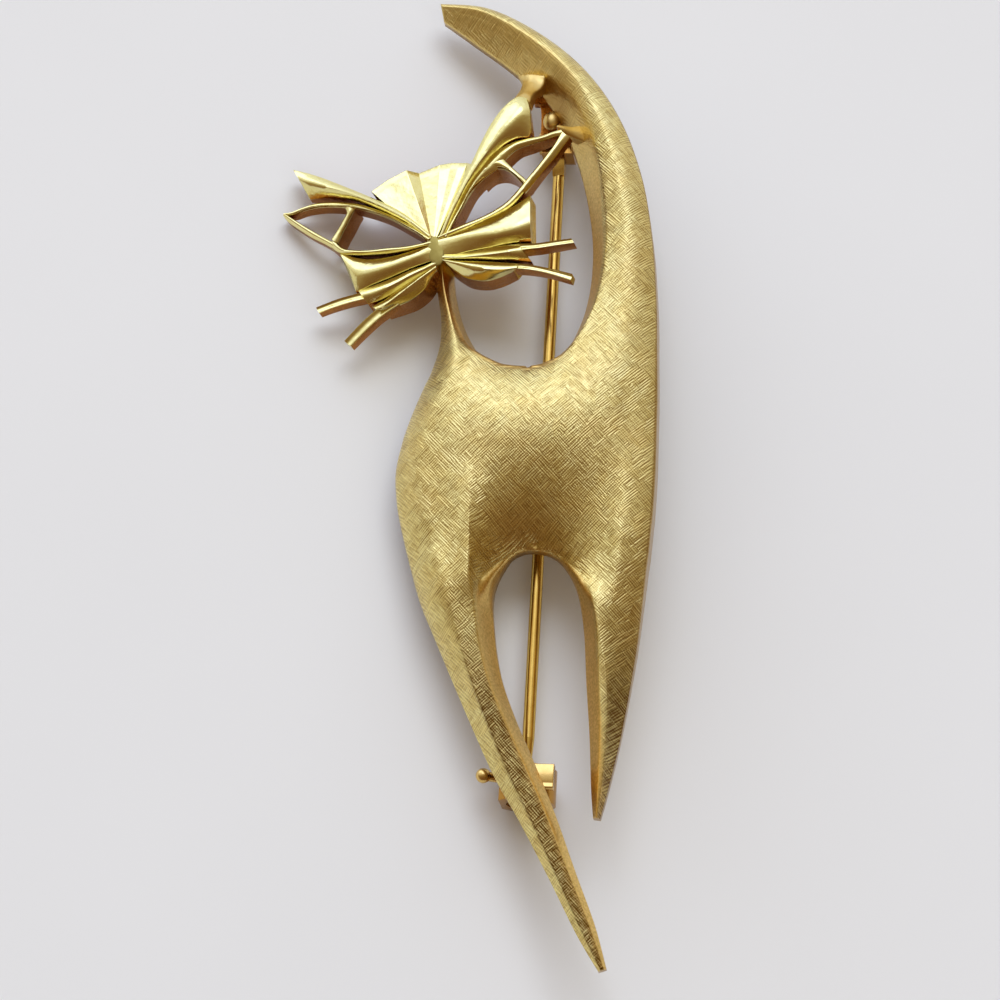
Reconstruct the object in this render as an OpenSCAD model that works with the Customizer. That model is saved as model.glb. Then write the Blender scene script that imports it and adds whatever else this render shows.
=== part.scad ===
// Figural cat brooch: hollow-backed casting with pierced face, pin stem, hinge and safety catch.
// Sizes are in millimetres. In the brooch's own frame the pin line lies at x = 0 and the casting's
// back plane at z = 0; the finished brooch is then laid on its catch, its hinge and its left ear.

/* [Casting] */
// Width that the body's x columns are shares of
body_w = 20; // [12:0.5:32]
// Length that the body's y columns are shares of
body_l = 50; // [30:1:80]
// Height that the body's height columns are shares of: the flank's crown over the back plane
relief = 5; // [3:0.1:8]
// Metal thickness over the hollow of the back
wall = 1.1; // [0.7:0.1:2]
// Height of the whole casting, front to back
casting_h = 5.2; // [4:0.1:9]

/* [Face] */
// Reach of the ears and whiskers from the nose; the face's u and v columns are shares of it
face_r = 10; // [6:0.5:16]
// Height of the face's ribs over the back plane; the face's height columns are shares of it
face_h = 4.6; // [3:0.1:7]
// Nose's distance to the left of the pin line
nose_x = 8.1; // [4:0.1:12]
// Nose's distance above the middle of the frame
nose_y = 16.8; // [8:0.1:26]
// Turn of the face, counterclockwise
face_turn = 17.5; // [0:0.5:40]
// Lean of the face, left ear towards the back
face_lean = 6; // [0:0.5:12]

/* [Pin] */
// Pin wire's diameter
wire_d = 0.9; // [0.6:0.05:1.4]
// Pin line's distance behind the back plane
pin_drop = 2.4; // [1.6:0.1:4]
// Hinge rivet's distance above the middle of the frame
hinge_y = 27.8; // [15:0.1:40]
// Catch's distance below the middle of the frame
catch_y = 22.7; // [15:0.1:40]
// Length of the stem's tapered point
point_l = 5; // [3:0.5:9]
// Stem's length past the middle of the catch
past_l = 1.7; // [0.5:0.1:4]

/* [Hinge] */
// Hinge base's width to the left of the pin line
base_left = 1.5; // [1.2:0.1:4]
// Hinge base's width to the right of the pin line
base_right = 2.6; // [1.2:0.1:4]
// Hinge base's length
hinge_l = 3.6; // [2.5:0.1:6]
// Thickness of the base plates behind the back plane
base_t = 0.6; // [0.4:0.05:1.2]
// Ear thickness
ear_t = 0.7; // [0.4:0.05:1.2]
// Radius of the ears' round ends
ear_r = 1.6; // [1:0.1:3]
// Rivet's diameter
rivet_d = 0.9; // [0.5:0.05:1.4]
// Diameter of the rivet's heads
rivet_head_d = 1.7; // [1:0.05:3]
// Thickness of the rivet's heads
rivet_head_t = 0.3; // [0.2:0.05:1]
// Radius of the stem's joint disc
joint_r = 1.2; // [0.8:0.05:2]
// Thickness of the stem's joint disc
joint_t = 0.9; // [0.5:0.05:1.4]
// Length of the stem's flattened neck from the rivet
neck_l = 2.8; // [2:0.1:6]
// Thickness of the pads that fill the hollow back over the hinge and the catch
pad_t = 1.1; // [0.5:0.1:2]
// Pads' distance from the sides that stay clear of the openwork
pad_inset = 0.6; // [0.1:0.1:1.2]
// Radial clearance round the rivet
rivet_fit = 0.03; // [0.02:0.01:0.1]
// Side clearance beside the joint disc and under the rivet's heads
side_fit = 0.06; // [0.03:0.01:0.2]

/* [Catch] */
// Catch housing's outer diameter
catch_d = 4.5; // [3:0.1:6]
// Catch housing's length along the pin
catch_l = 2.4; // [1.8:0.1:5]
// Distance from the pin line to the housing's flat left side
catch_left = 1.8; // [1.5:0.05:3]
// Roller's diameter
roller_d = 2.6; // [1.8:0.1:4]
// Radial clearance of the roller in its housing
roller_fit = 0.05; // [0.03:0.01:0.1]
// Throat's width
throat_w = 1.3; // [0.9:0.05:2]
// Radial clearance between the wire and the roller's slot
slot_fit = 0.1; // [0.04:0.01:0.3]
// Lever's thickness
lever_d = 0.7; // [0.4:0.05:1.4]
// Diameter of the lever's knob
knob_d = 1.1; // [0.6:0.05:2]
// Lever's reach from the pin line to the end of the knob
lever_l = 3.95; // [2:0.1:6]
// Clearance on each side of the lever in its window
lever_fit = 0.08; // [0.03:0.01:0.2]
// Rise of the open lever towards the casting
lever_rise = 30; // [0:1:40]
// Turn of the roller from open to closed
roller_turn = 70; // [50:1:90]

/* [Lying] */
// Angle that the brooch leans to its left on the surface
lie_deg = 13.1; // [0:0.1:20]
// Angle that the hinge's end lies lower than the catch's end
lie_pitch = 0.5; // [0:0.1:3]
// Height of the middle of the frame over the surface
lie_h = 4.413; // [2:0.001:9]
// Shift to the right that brings the lying brooch's middle over the origin
lie_x = 6.06; // [0:0.01:10]
// Shift down that brings the lying brooch's middle over the origin
lie_y = 0.55; // [0:0.01:3]

/* [Hidden] */
gold = "#c9a64a";
gilt = "#b98f35";
OX = 0;
OY = 1;
IX = 2;
IY = 3;
LIP = 4;
CROWN = 5;
PEAK = 6;
CREST = 7;
BAND = 8;
FOOT = 9;
HOLLOW = 10;
JOIN = 11;
TURN = 12;
SOFT = 13;
steps = 3;
sunk = 0.2;

// Tail, back and right leg. Columns: outer x, outer y, inner x, inner y, lip height, crown height,
// crown's place across, crest height, side band's share, foot height, hollow share, seam share, turn,
// softness of the side band
back_rows = [
    [-0.475, 0.760, -0.460, 0.732, 0.20, 0.30, 0.50, 0.26, 0.25, 0.18, 0.0, 0, 0, 0],
    [-0.280, 0.750, -0.345, 0.698, 0.22, 0.50, 0.48, 0.44, 0.26, 0.18, 0.0, 0, 0, 0],
    [-0.070, 0.704, -0.180, 0.648, 0.24, 0.60, 0.46, 0.54, 0.26, 0.18, 0.2, 0, 0, 0],
    [0.112, 0.640, -0.040, 0.594, 0.26, 0.68, 0.44, 0.60, 0.26, 0.18, 0.4, 0, 0, 0],
    [0.250, 0.558, 0.062, 0.522, 0.28, 0.72, 0.44, 0.64, 0.26, 0.18, 0.7, 0, 0, 0],
    [0.344, 0.458, 0.130, 0.436, 0.30, 0.76, 0.44, 0.66, 0.26, 0.18, 0.9, 0, 0, 0],
    [0.392, 0.354, 0.164, 0.344, 0.30, 0.78, 0.44, 0.66, 0.26, 0.18, 1.0, 0, 0, 0],
    [0.416, 0.252, 0.146, 0.254, 0.30, 0.80, 0.44, 0.68, 0.24, 0.18, 1.0, 0, 0, 0],
    [0.424, 0.180, 0.072, 0.184, 0.30, 0.84, 0.46, 0.74, 0.22, 0.18, 1.0, 0, 0, 0.1],
    [0.428, 0.140, 0.014, 0.163, 0.30, 0.87, 0.48, 0.76, 0.22, 0.18, 1.0, 0, 0, 0.2],
    [0.430, 0.108, -0.046, 0.157, 0.30, 0.89, 0.48, 0.77, 0.22, 0.18, 1.0, 0, 1, 0.3],
    [0.431, 0.090, -0.046, 0.148, 0.30, 0.90, 0.48, 0.80, 0.26, 0.66, 1.0, 1, 0, 0.5],
    [0.432, 0.058, -0.044, 0.128, 0.30, 0.91, 0.48, 0.87, 0.32, 0.85, 1.0, 1, 0, 0.8],
    [0.434, 0.020, -0.038, 0.078, 0.30, 0.91, 0.48, 0.92, 0.40, 0.93, 1.0, 1, 0, 1],
    [0.434, -0.026, -0.028, 0.014, 0.30, 0.89, 0.46, 0.88, 0.46, 0.85, 1.0, 1, 0, 1],
    [0.430, -0.070, -0.012, -0.050, 0.30, 0.85, 0.44, 0.80, 0.48, 0.62, 1.0, 1, 0, 1],
    [0.425, -0.102, 0.000, -0.096, 0.30, 0.81, 0.42, 0.73, 0.48, 0.38, 1.0, 1, 0, 1],
    [0.421, -0.128, 0.006, -0.122, 0.30, 0.78, 0.40, 0.69, 0.48, 0.20, 1.0, 0, 1, 1],
    [0.416, -0.152, 0.062, -0.127, 0.30, 0.76, 0.40, 0.675, 0.44, 0.18, 1.0, 0, 0, 0.9],
    [0.410, -0.182, 0.116, -0.145, 0.28, 0.73, 0.40, 0.65, 0.39, 0.16, 1.0, 0, 0, 0.7],
    [0.402, -0.226, 0.166, -0.182, 0.26, 0.69, 0.42, 0.61, 0.33, 0.16, 0.8, 0, 0, 0.4],
    [0.390, -0.276, 0.198, -0.240, 0.24, 0.63, 0.44, 0.56, 0.32, 0.16, 0.6, 0, 0, 0.2],
    [0.370, -0.340, 0.218, -0.324, 0.22, 0.54, 0.44, 0.48, 0.33, 0.16, 0.3, 0, 0, 0],
    [0.345, -0.408, 0.238, -0.400, 0.20, 0.46, 0.44, 0.40, 0.35, 0.16, 0.0, 0, 0, 0],
    [0.313, -0.476, 0.252, -0.474, 0.18, 0.36, 0.44, 0.32, 0.36, 0.16, 0.0, 0, 0, 0],
    [0.290, -0.519, 0.264, -0.518, 0.16, 0.24, 0.46, 0.22, 0.36, 0.14, 0.0, 0, 0, 0]];

// Neck, flank and left leg, with the same columns; outer is the left edge
flank_rows = [
    [-0.440, 0.352, -0.370, 0.352, 0.24, 0.62, 0.50, 0.54, 0.30, 0.20, 0.0, 0, 0, 0],
    [-0.420, 0.290, -0.348, 0.280, 0.22, 0.56, 0.50, 0.48, 0.30, 0.18, 0.0, 0, 0, 0],
    [-0.394, 0.236, -0.302, 0.222, 0.22, 0.62, 0.50, 0.54, 0.28, 0.18, 0.0, 0, 0, 0],
    [-0.394, 0.192, -0.228, 0.184, 0.22, 0.72, 0.50, 0.64, 0.24, 0.18, 0.4, 0, 0, 0],
    [-0.420, 0.150, -0.148, 0.164, 0.22, 0.86, 0.50, 0.74, 0.20, 0.18, 0.8, 0, 0, 0.1],
    [-0.442, 0.128, -0.102, 0.158, 0.22, 0.91, 0.48, 0.76, 0.21, 0.18, 1.0, 0, 0, 0.2],
    [-0.460, 0.108, -0.046, 0.157, 0.22, 0.95, 0.48, 0.78, 0.22, 0.18, 1.0, 0, 1, 0.3],
    [-0.472, 0.094, -0.046, 0.148, 0.22, 0.97, 0.48, 0.82, 0.26, 0.66, 1.0, 1, 0, 0.5],
    [-0.488, 0.074, -0.044, 0.128, 0.22, 0.99, 0.48, 0.88, 0.32, 0.85, 1.0, 1, 0, 0.8],
    [-0.510, 0.040, -0.038, 0.078, 0.22, 1.00, 0.46, 0.94, 0.40, 0.93, 1.0, 1, 0, 1],
    [-0.527, -0.008, -0.028, 0.014, 0.22, 1.00, 0.44, 0.95, 0.46, 0.85, 1.0, 1, 0, 1],
    [-0.515, -0.056, -0.012, -0.050, 0.22, 0.98, 0.42, 0.93, 0.48, 0.62, 1.0, 1, 0, 1],
    [-0.497, -0.088, 0.000, -0.096, 0.22, 0.95, 0.40, 0.89, 0.48, 0.38, 1.0, 1, 0, 1],
    [-0.482, -0.110, 0.006, -0.122, 0.22, 0.92, 0.40, 0.86, 0.48, 0.20, 1.0, 0, 1, 1],
    [-0.466, -0.132, -0.040, -0.124, 0.22, 0.91, 0.42, 0.85, 0.44, 0.18, 1.0, 0, 0, 0.9],
    [-0.446, -0.158, -0.090, -0.139, 0.22, 0.88, 0.44, 0.815, 0.40, 0.16, 1.0, 0, 0, 0.7],
    [-0.404, -0.208, -0.136, -0.184, 0.22, 0.81, 0.48, 0.745, 0.35, 0.16, 0.8, 0, 0, 0.4],
    [-0.342, -0.262, -0.130, -0.240, 0.20, 0.72, 0.52, 0.66, 0.34, 0.16, 0.6, 0, 0, 0.2],
    [-0.262, -0.330, -0.095, -0.312, 0.20, 0.62, 0.54, 0.57, 0.34, 0.16, 0.3, 0, 0, 0],
    [-0.180, -0.398, -0.030, -0.378, 0.18, 0.52, 0.56, 0.48, 0.34, 0.16, 0.0, 0, 0, 0],
    [-0.096, -0.464, 0.044, -0.440, 0.18, 0.46, 0.56, 0.42, 0.34, 0.16, 0.0, 0, 0, 0],
    [0.006, -0.530, 0.128, -0.514, 0.18, 0.42, 0.56, 0.38, 0.34, 0.16, 0.0, 0, 0, 0],
    [0.120, -0.610, 0.210, -0.596, 0.16, 0.38, 0.54, 0.34, 0.34, 0.16, 0.0, 0, 0, 0],
    [0.224, -0.686, 0.288, -0.672, 0.16, 0.32, 0.52, 0.30, 0.34, 0.14, 0.0, 0, 0, 0],
    [0.308, -0.738, 0.336, -0.734, 0.14, 0.22, 0.50, 0.20, 0.34, 0.14, 0.0, 0, 0, 0]];

// Face, right half; the left half mirrors it. Columns: upper edge u and v, lower edge u and v,
// height at the upper edge, at the ridge and at the lower edge, ridge's place across, underside
ear_blade = [
    [0.02, 0.10, 0.07, 0.05, 0.84, 0.90, 0.84, 0.50, 0.14],
    [0.23, 0.34, 0.29, 0.28, 0.80, 0.92, 0.80, 0.50, 0.16],
    [0.44, 0.54, 0.51, 0.47, 0.80, 0.96, 0.78, 0.45, 0.20],
    [0.63, 0.69, 0.68, 0.56, 0.84, 0.98, 0.74, 0.38, 0.26],
    [0.80, 0.84, 0.79, 0.60, 0.84, 0.96, 0.66, 0.34, 0.32],
    [0.95, 0.96, 0.87, 0.62, 0.76, 0.86, 0.60, 0.34, 0.40]];
ear_upper_bar = [
    [0.30, 0.38, 0.30, 0.33, 0.76, 0.84, 0.76, 0.50, 0.16],
    [0.46, 0.51, 0.48, 0.45, 0.76, 0.84, 0.76, 0.50, 0.18],
    [0.65, 0.59, 0.64, 0.53, 0.76, 0.84, 0.72, 0.50, 0.20],
    [0.86, 0.63, 0.84, 0.57, 0.74, 0.82, 0.68, 0.50, 0.24],
    [1.10, 0.61, 1.02, 0.56, 0.66, 0.70, 0.62, 0.50, 0.36]];
ear_lower_bar = [
    [0.05, 0.07, 0.05, 0.02, 0.84, 0.90, 0.84, 0.50, 0.14],
    [0.30, 0.10, 0.30, 0.05, 0.80, 0.88, 0.80, 0.50, 0.14],
    [0.55, 0.15, 0.56, 0.09, 0.78, 0.86, 0.76, 0.50, 0.14],
    [0.73, 0.28, 0.77, 0.21, 0.76, 0.84, 0.72, 0.50, 0.16],
    [0.88, 0.43, 0.93, 0.37, 0.72, 0.80, 0.68, 0.50, 0.22],
    [1.06, 0.61, 1.13, 0.55, 0.66, 0.72, 0.62, 0.50, 0.36]];
ear_cross_bar = [
    [0.54, 0.54, 0.47, 0.46, 0.72, 0.80, 0.72, 0.50, 0.18],
    [0.64, 0.50, 0.58, 0.43, 0.72, 0.80, 0.72, 0.40, 0.18],
    [0.71, 0.39, 0.66, 0.34, 0.72, 0.80, 0.70, 0.40, 0.16],
    [0.79, 0.28, 0.73, 0.22, 0.70, 0.78, 0.70, 0.50, 0.16]];
cheek_top = [
    [0.04, 0.04, 0.04, 0.00, 0.82, 0.90, 0.82, 0.50, 0.14],
    [0.30, 0.06, 0.32, -0.04, 0.76, 0.92, 0.80, 0.50, 0.14],
    [0.54, 0.10, 0.54, -0.03, 0.74, 0.92, 0.78, 0.55, 0.14],
    [0.76, 0.22, 0.72, 0.07, 0.66, 0.84, 0.72, 0.60, 0.16]];
cheek_middle = [
    [0.04, 0.02, 0.04, -0.03, 0.82, 0.90, 0.82, 0.50, 0.14],
    [0.32, -0.03, 0.32, -0.11, 0.80, 0.94, 0.82, 0.50, 0.14],
    [0.54, -0.02, 0.54, -0.14, 0.78, 0.94, 0.80, 0.50, 0.14],
    [0.72, 0.08, 0.68, -0.12, 0.70, 0.84, 0.72, 0.45, 0.18]];
cheek_low = [
    [0.04, -0.02, 0.04, -0.06, 0.82, 0.90, 0.80, 0.50, 0.14],
    [0.32, -0.10, 0.32, -0.17, 0.82, 0.92, 0.78, 0.45, 0.14],
    [0.54, -0.13, 0.53, -0.22, 0.80, 0.92, 0.74, 0.45, 0.14],
    [0.68, -0.11, 0.67, -0.24, 0.72, 0.82, 0.66, 0.45, 0.18]];
whisker_1 = [
    [0.04, -0.05, 0.04, -0.09, 0.80, 0.88, 0.80, 0.50, 0.14],
    [0.34, -0.16, 0.34, -0.25, 0.74, 0.88, 0.70, 0.50, 0.16],
    [0.54, -0.20, 0.54, -0.31, 0.72, 0.88, 0.68, 0.50, 0.22],
    [0.68, -0.21, 0.67, -0.31, 0.70, 0.82, 0.66, 0.50, 0.32],
    [0.84, -0.23, 0.83, -0.305, 0.72, 0.70, 0.68, 0.50, 0.40],
    [1.00, -0.25, 0.99, -0.315, 0.70, 0.66, 0.66, 0.50, 0.44]];
whisker_2 = [
    [0.04, -0.08, 0.05, -0.13, 0.80, 0.88, 0.80, 0.50, 0.14],
    [0.30, -0.24, 0.27, -0.32, 0.72, 0.88, 0.72, 0.50, 0.14],
    [0.52, -0.33, 0.48, -0.40, 0.68, 0.84, 0.68, 0.50, 0.20],
    [0.66, -0.39, 0.62, -0.45, 0.68, 0.74, 0.66, 0.50, 0.28],
    [0.79, -0.47, 0.75, -0.53, 0.68, 0.64, 0.66, 0.50, 0.36],
    [0.91, -0.55, 0.87, -0.61, 0.66, 0.60, 0.62, 0.50, 0.40]];
muzzle = [
    [0.05, -0.10, 0.05, -0.19, 0.80, 0.86, 0.70, 0.50, 0.10],
    [0.17, -0.19, 0.12, -0.32, 0.76, 0.88, 0.66, 0.50, 0.10],
    [0.30, -0.28, 0.25, -0.40, 0.74, 0.88, 0.64, 0.50, 0.10],
    [0.44, -0.34, 0.41, -0.42, 0.70, 0.82, 0.62, 0.50, 0.14],
    [0.58, -0.40, 0.56, -0.43, 0.64, 0.72, 0.60, 0.50, 0.18]];
petals = [ear_blade, ear_upper_bar, ear_lower_bar, ear_cross_bar, cheek_top, cheek_middle, cheek_low,
    whisker_1, whisker_2, muzzle];

// Forehead's folds. Columns: u, v, height
brow_folds = [
    [-0.40, 0.52, 0.66],
    [-0.26, 0.63, 0.84],
    [-0.10, 0.69, 1.00],
    [-0.01, 0.66, 0.86],
    [0.12, 0.68, 0.98],
    [0.27, 0.62, 1.00],
    [0.33, 0.60, 0.82],
    [0.42, 0.54, 0.68]];

// Smooth value between the second and third of four
function between(a, b, c, d, t) =
    0.5 * (2 * b + (c - a) * t + (2 * a - 5 * b + 4 * c - d) * t * t
    + (3 * b - 3 * c + d - a) * t * t * t);
function pick(rows, i) = rows[max(0, min(len(rows) - 1, i))];
function fine(rows, n) = concat(
    [for (i = [0 : len(rows) - 2]) for (k = [0 : n - 1])
        between(pick(rows, i - 1), rows[i], rows[i + 1], pick(rows, i + 2), k / n)],
    [rows[len(rows) - 1]]);

// The same for the body, where the inner line turns sharply at the neck's notch and at the arch
function before(rows, i) = rows[i][TURN] > 0 ? rows[i] : pick(rows, i - 1);
function after(rows, i) = rows[i + 1][TURN] > 0 ? rows[i + 1] : pick(rows, i + 2);
function turned(c) = c == IX || c == IY || c == FOOT;
function body_fine(rows, n) = concat(
    [for (i = [0 : len(rows) - 2]) for (k = [0 : n - 1])
        [for (c = [OX : SOFT])
            between(turned(c) ? before(rows, i)[c] : pick(rows, i - 1)[c], rows[i][c],
                rows[i + 1][c], turned(c) ? after(rows, i)[c] : pick(rows, i + 2)[c], k / n)]],
    [rows[len(rows) - 1]]);

// Places across a section: rise to the crown, run to the crest, side band down to the foot
rise_n = 4;
run_n = 3;
band_n = 3;
across_n = rise_n + run_n + band_n;
function place(r, j) =
    j <= rise_n ? r[PEAK] * j / rise_n
    : j <= rise_n + run_n ? r[PEAK] + (1 - r[BAND] - r[PEAK]) * (j - rise_n) / run_n
    : 1 - r[BAND] * (across_n - j) / band_n;
function side_fall(r, t) = (1 - r[SOFT]) * pow(cos(90 * t), 0.8) + r[SOFT] * (1 + cos(180 * t)) / 2;
function top_z(r, j) = relief * (
    j <= rise_n ? r[LIP] + (r[CROWN] - r[LIP]) * pow(sin(90 * j / rise_n), 0.75)
    : j <= rise_n + run_n
        ? r[CREST] + (r[CROWN] - r[CREST]) * (1 + cos(180 * (j - rise_n) / run_n)) / 2
    : r[FOOT] + (r[CREST] - r[FOOT]) * side_fall(r, (j - rise_n - run_n) / band_n));
function rim(r, j) = j < 2 ? 0 : j < across_n - 1 ? 1 : r[JOIN];
function back_z(r, j) = max(0, rim(r, j) * r[HOLLOW] * (top_z(r, j) - wall));
function spot(r, j) = [
    body_w * (r[OX] + (r[IX] - r[OX]) * place(r, j)),
    body_l * (r[OY] + (r[IY] - r[OY]) * place(r, j))];
function ring(r) = concat(
    [for (j = [0 : across_n]) concat(spot(r, j), top_z(r, j))],
    [for (j = [across_n : -1 : 0]) concat(spot(r, j), back_z(r, j))]);

// Solid through rings of equal length, closed at both ends by strips across
module skin(rings, flip) {
    m = len(rings[0]);
    n = len(rings);
    half = m / 2;
    sides = [for (i = [0 : n - 2]) for (k = [0 : m - 1]) let (q = (k + 1) % m)
        each [[i * m + k, (i + 1) * m + k, (i + 1) * m + q], [i * m + k, (i + 1) * m + q, i * m + q]]];
    ends = [for (k = [0 : half - 2]) let (p = m - 1 - k, e = (n - 1) * m)
        each concat(
            [[k, k + 1, p - 1], [e + k, e + p - 1, e + k + 1]],
            [[k, p - 1, p], [e + k, e + p, e + p - 1]])];
    all_faces = concat(sides, ends);
    polyhedron(points = [for (r = rings) each r],
        faces = flip ? [for (f = all_faces) [f[2], f[1], f[0]]] : all_faces, convexity = 8);
}

// One petal or bar of the face: two edges, a ridge between them, walls down to the underside
function petal_point(r, t, z) = [
    face_r * (r[0] + (r[2] - r[0]) * t), face_r * (r[1] + (r[3] - r[1]) * t), face_h * z];
function petal_ring(r) = concat(
    [petal_point(r, 0, r[4]),
        petal_point(r, r[7] * 0.5, 0.35 * r[4] + 0.65 * r[5]),
        petal_point(r, r[7], r[5]),
        petal_point(r, (1 + r[7]) / 2, 0.35 * r[6] + 0.65 * r[5]),
        petal_point(r, 1, r[6])],
    [for (t = [1, (1 + r[7]) / 2, r[7], r[7] * 0.5, 0]) petal_point(r, t, r[8])]);
module petal(rows) {
    skin([for (r = fine(rows, 2)) petal_ring(r)], false);
}
module half_face() {
    for (rows = petals) {
        petal(rows);
    }
}

// One fold of the forehead, a wedge from the nose out to two neighbouring folds
module fold(a, b) {
    polyhedron(
        points = [
            [0, 0, face_h * 0.14],
            [face_r * b[0], face_r * b[1], face_h * 0.14],
            [face_r * a[0], face_r * a[1], face_h * 0.14],
            [0, 0, face_h * 0.9],
            [face_r * b[0], face_r * b[1], face_h * b[2]],
            [face_r * a[0], face_r * a[1], face_h * a[2]]],
        faces = [[0, 1, 2], [5, 4, 3], [0, 3, 4, 1], [1, 4, 5, 2], [2, 5, 3, 0]]);
}

// Small bridges that run from the right ear's two tips into the tail
module ear_bridges() {
    hull() {
        translate([face_r * 0.92, face_r * 0.90, face_h * 0.62]) sphere(d = 1.0, $fn = 16);
        translate([face_r * 1.04, face_r * 1.06, face_h * 0.46]) sphere(d = 1.1, $fn = 16);
    }
    hull() {
        translate([face_r * 1.08, face_r * 0.58, face_h * 0.52]) sphere(d = 0.8, $fn = 16);
        translate([face_r * 1.22, face_r * 0.58, face_h * 0.36]) sphere(d = 0.9, $fn = 16);
    }
}
module face() {
    translate([-nose_x, nose_y, 0]) rotate([0, 0, face_turn]) rotate([0, -face_lean, 0]) {
        half_face();
        mirror([1, 0, 0]) half_face();
        for (i = [0 : len(brow_folds) - 2]) {
            fold(brow_folds[i], brow_folds[i + 1]);
        }
        ear_bridges();
    }
}
module body() {
    skin([for (r = body_fine(back_rows, steps)) ring(r)], false);
    skin([for (r = body_fine(flank_rows, steps)) ring(r)], true);
}

// Flat pads that fill the hollow back where the hinge and the catch are soldered on
module pads() {
    translate([pad_inset, hinge_y - hinge_l / 2, 0]) cube([base_right - pad_inset, hinge_l, pad_t]);
    translate([pad_inset - catch_left, -catch_y - catch_l / 2, 0])
        cube([catch_left - pad_inset, catch_l, pad_t]);
}
module casting() {
    resize([0, 0, casting_h]) {
        body();
        face();
    }
}

// Turned so that a profile drawn in x and z runs along the pin line
module along_pin(l) {
    rotate([90, 0, 0]) linear_extrude(height = l, center = true) children();
}
module hinge_base() {
    ears_w = joint_t + 2 * (side_fit + ear_t);
    translate([-base_left, hinge_y - hinge_l / 2, -base_t])
        cube([base_left + base_right, hinge_l, base_t + sunk]);
    translate([0, hinge_y, -pin_drop]) rotate([0, 90, 0])
        cylinder(r = ear_r, h = ears_w, center = true, $fn = 64);
    translate([-ears_w / 2, hinge_y - ear_r, -pin_drop]) cube([ears_w, 2 * ear_r, pin_drop]);
}
module hinge_cuts() {
    gap_w = joint_t + 2 * side_fit;
    past = 2 * ear_r;
    translate([-gap_w / 2, hinge_y - past, -pin_drop - past])
        cube([gap_w, 2 * past, past + pin_drop - base_t]);
    translate([0, hinge_y, -pin_drop]) rotate([0, 90, 0])
        cylinder(d = rivet_d + 2 * rivet_fit, h = 2 * past, center = true, $fn = 64);
}
module catch_base() {
    translate([-catch_left, -catch_y - catch_l / 2, -base_t])
        cube([catch_left + catch_d / 2, catch_l, base_t + sunk]);
    translate([0, -catch_y, -pin_drop]) rotate([90, 0, 0])
        cylinder(d = catch_d, h = catch_l, center = true, $fn = 96);
}
module catch_cuts() {
    bore_r = roller_d / 2 + roller_fit;
    lever_half = asin((lever_d / 2 + lever_fit) / bore_r);
    window_from = 180 - lever_rise - lever_half - 2;
    reach = catch_d;
    translate([0, -catch_y, -pin_drop]) {
        rotate([90, 0, 0]) cylinder(r = bore_r, h = 2 * catch_l, center = true, $fn = 96);
        translate([-catch_left - reach, -catch_l, -reach])
            cube([reach, 2 * catch_l, reach + pin_drop - base_t]);
        translate([-throat_w / 2, -catch_l, -reach]) cube([throat_w, 2 * catch_l, reach]);
        along_pin(lever_d + 2 * lever_fit) polygon([
            [0, 0],
            [reach * cos(window_from), reach * sin(window_from)],
            [-reach, 0],
            [-reach, -reach],
            [0, -reach]]);
    }
}

// The casting with its soldered hinge base and catch housing, one solid
module cat_casting() {
    color(gold) difference() {
        union() {
            casting();
            pads();
            hinge_base();
            catch_base();
        }
        hinge_cuts();
        catch_cuts();
    }
}

// Rivet through the hinge's ears, headed at both ends
module hinge_rivet() {
    shank_l = joint_t + 4 * side_fit + 2 * ear_t;
    color(gilt) translate([0, hinge_y, -pin_drop]) rotate([0, 90, 0]) {
        cylinder(d = rivet_d, h = shank_l + rivet_head_t, center = true, $fn = 64);
        for (side = [-1, 1]) {
            translate([0, 0, side * (shank_l + rivet_head_t) / 2])
                cylinder(d = rivet_head_d, h = rivet_head_t, center = true, $fn = 64);
        }
    }
}

// Pin stem: bored joint disc, flattened neck and a round wire with a tapered point
module pin_stem() {
    stem_l = hinge_y + catch_y + past_l;
    color(gilt) translate([0, hinge_y, -pin_drop]) difference() {
        union() {
            rotate([0, 90, 0]) cylinder(r = joint_r, h = joint_t, center = true, $fn = 64);
            rotate([90, 0, -90]) linear_extrude(height = joint_t, center = true) polygon([
                [0, -joint_r * 0.9],
                [neck_l, -wire_d / 2],
                [neck_l, wire_d / 2],
                [0, joint_r * 0.9]]);
            rotate([90, 0, 0]) cylinder(d = wire_d, h = stem_l - point_l, $fn = 48);
            translate([0, -(stem_l - point_l), 0]) rotate([90, 0, 0])
                cylinder(d1 = wire_d, d2 = 0.16, h = point_l, $fn = 48);
        }
        rotate([0, 90, 0])
            cylinder(d = rivet_d + 2 * rivet_fit, h = 2 * joint_t, center = true, $fn = 64);
    }
}

// Roller with the slot that takes the wire, and its lever with a round knob; drawn open
module catch_roller() {
    slot_w = wire_d + 2 * slot_fit;
    color(gilt) translate([0, -catch_y, -pin_drop]) {
        difference() {
            rotate([90, 0, 0]) cylinder(d = roller_d, h = catch_l, center = true, $fn = 96);
            rotate([90, 0, 0]) cylinder(d = slot_w, h = 2 * catch_l, center = true, $fn = 48);
            translate([-slot_w / 2, -catch_l, -roller_d]) cube([slot_w, 2 * catch_l, roller_d]);
        }
        rotate([0, lever_rise, 0]) {
            translate([-roller_d / 2 + sunk, 0, 0]) rotate([0, -90, 0])
                cylinder(d = lever_d, h = lever_l - knob_d / 2 - roller_d / 2 + sunk, $fn = 32);
            translate([-lever_l + knob_d / 2, 0, 0]) sphere(d = knob_d, $fn = 32);
        }
    }
}

// Laid on the surface
module lying() {
    translate([lie_x, -lie_y, lie_h]) rotate([-lie_pitch, 0, 0]) rotate([0, -lie_deg, 0]) children();
}

lying() cat_casting();
lying() hinge_rivet();
lying() pin_stem();
lying() catch_roller();
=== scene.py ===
import math

import bmesh
import bpy
import numpy as np
from mathutils import Matrix, Vector, kdtree


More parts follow.
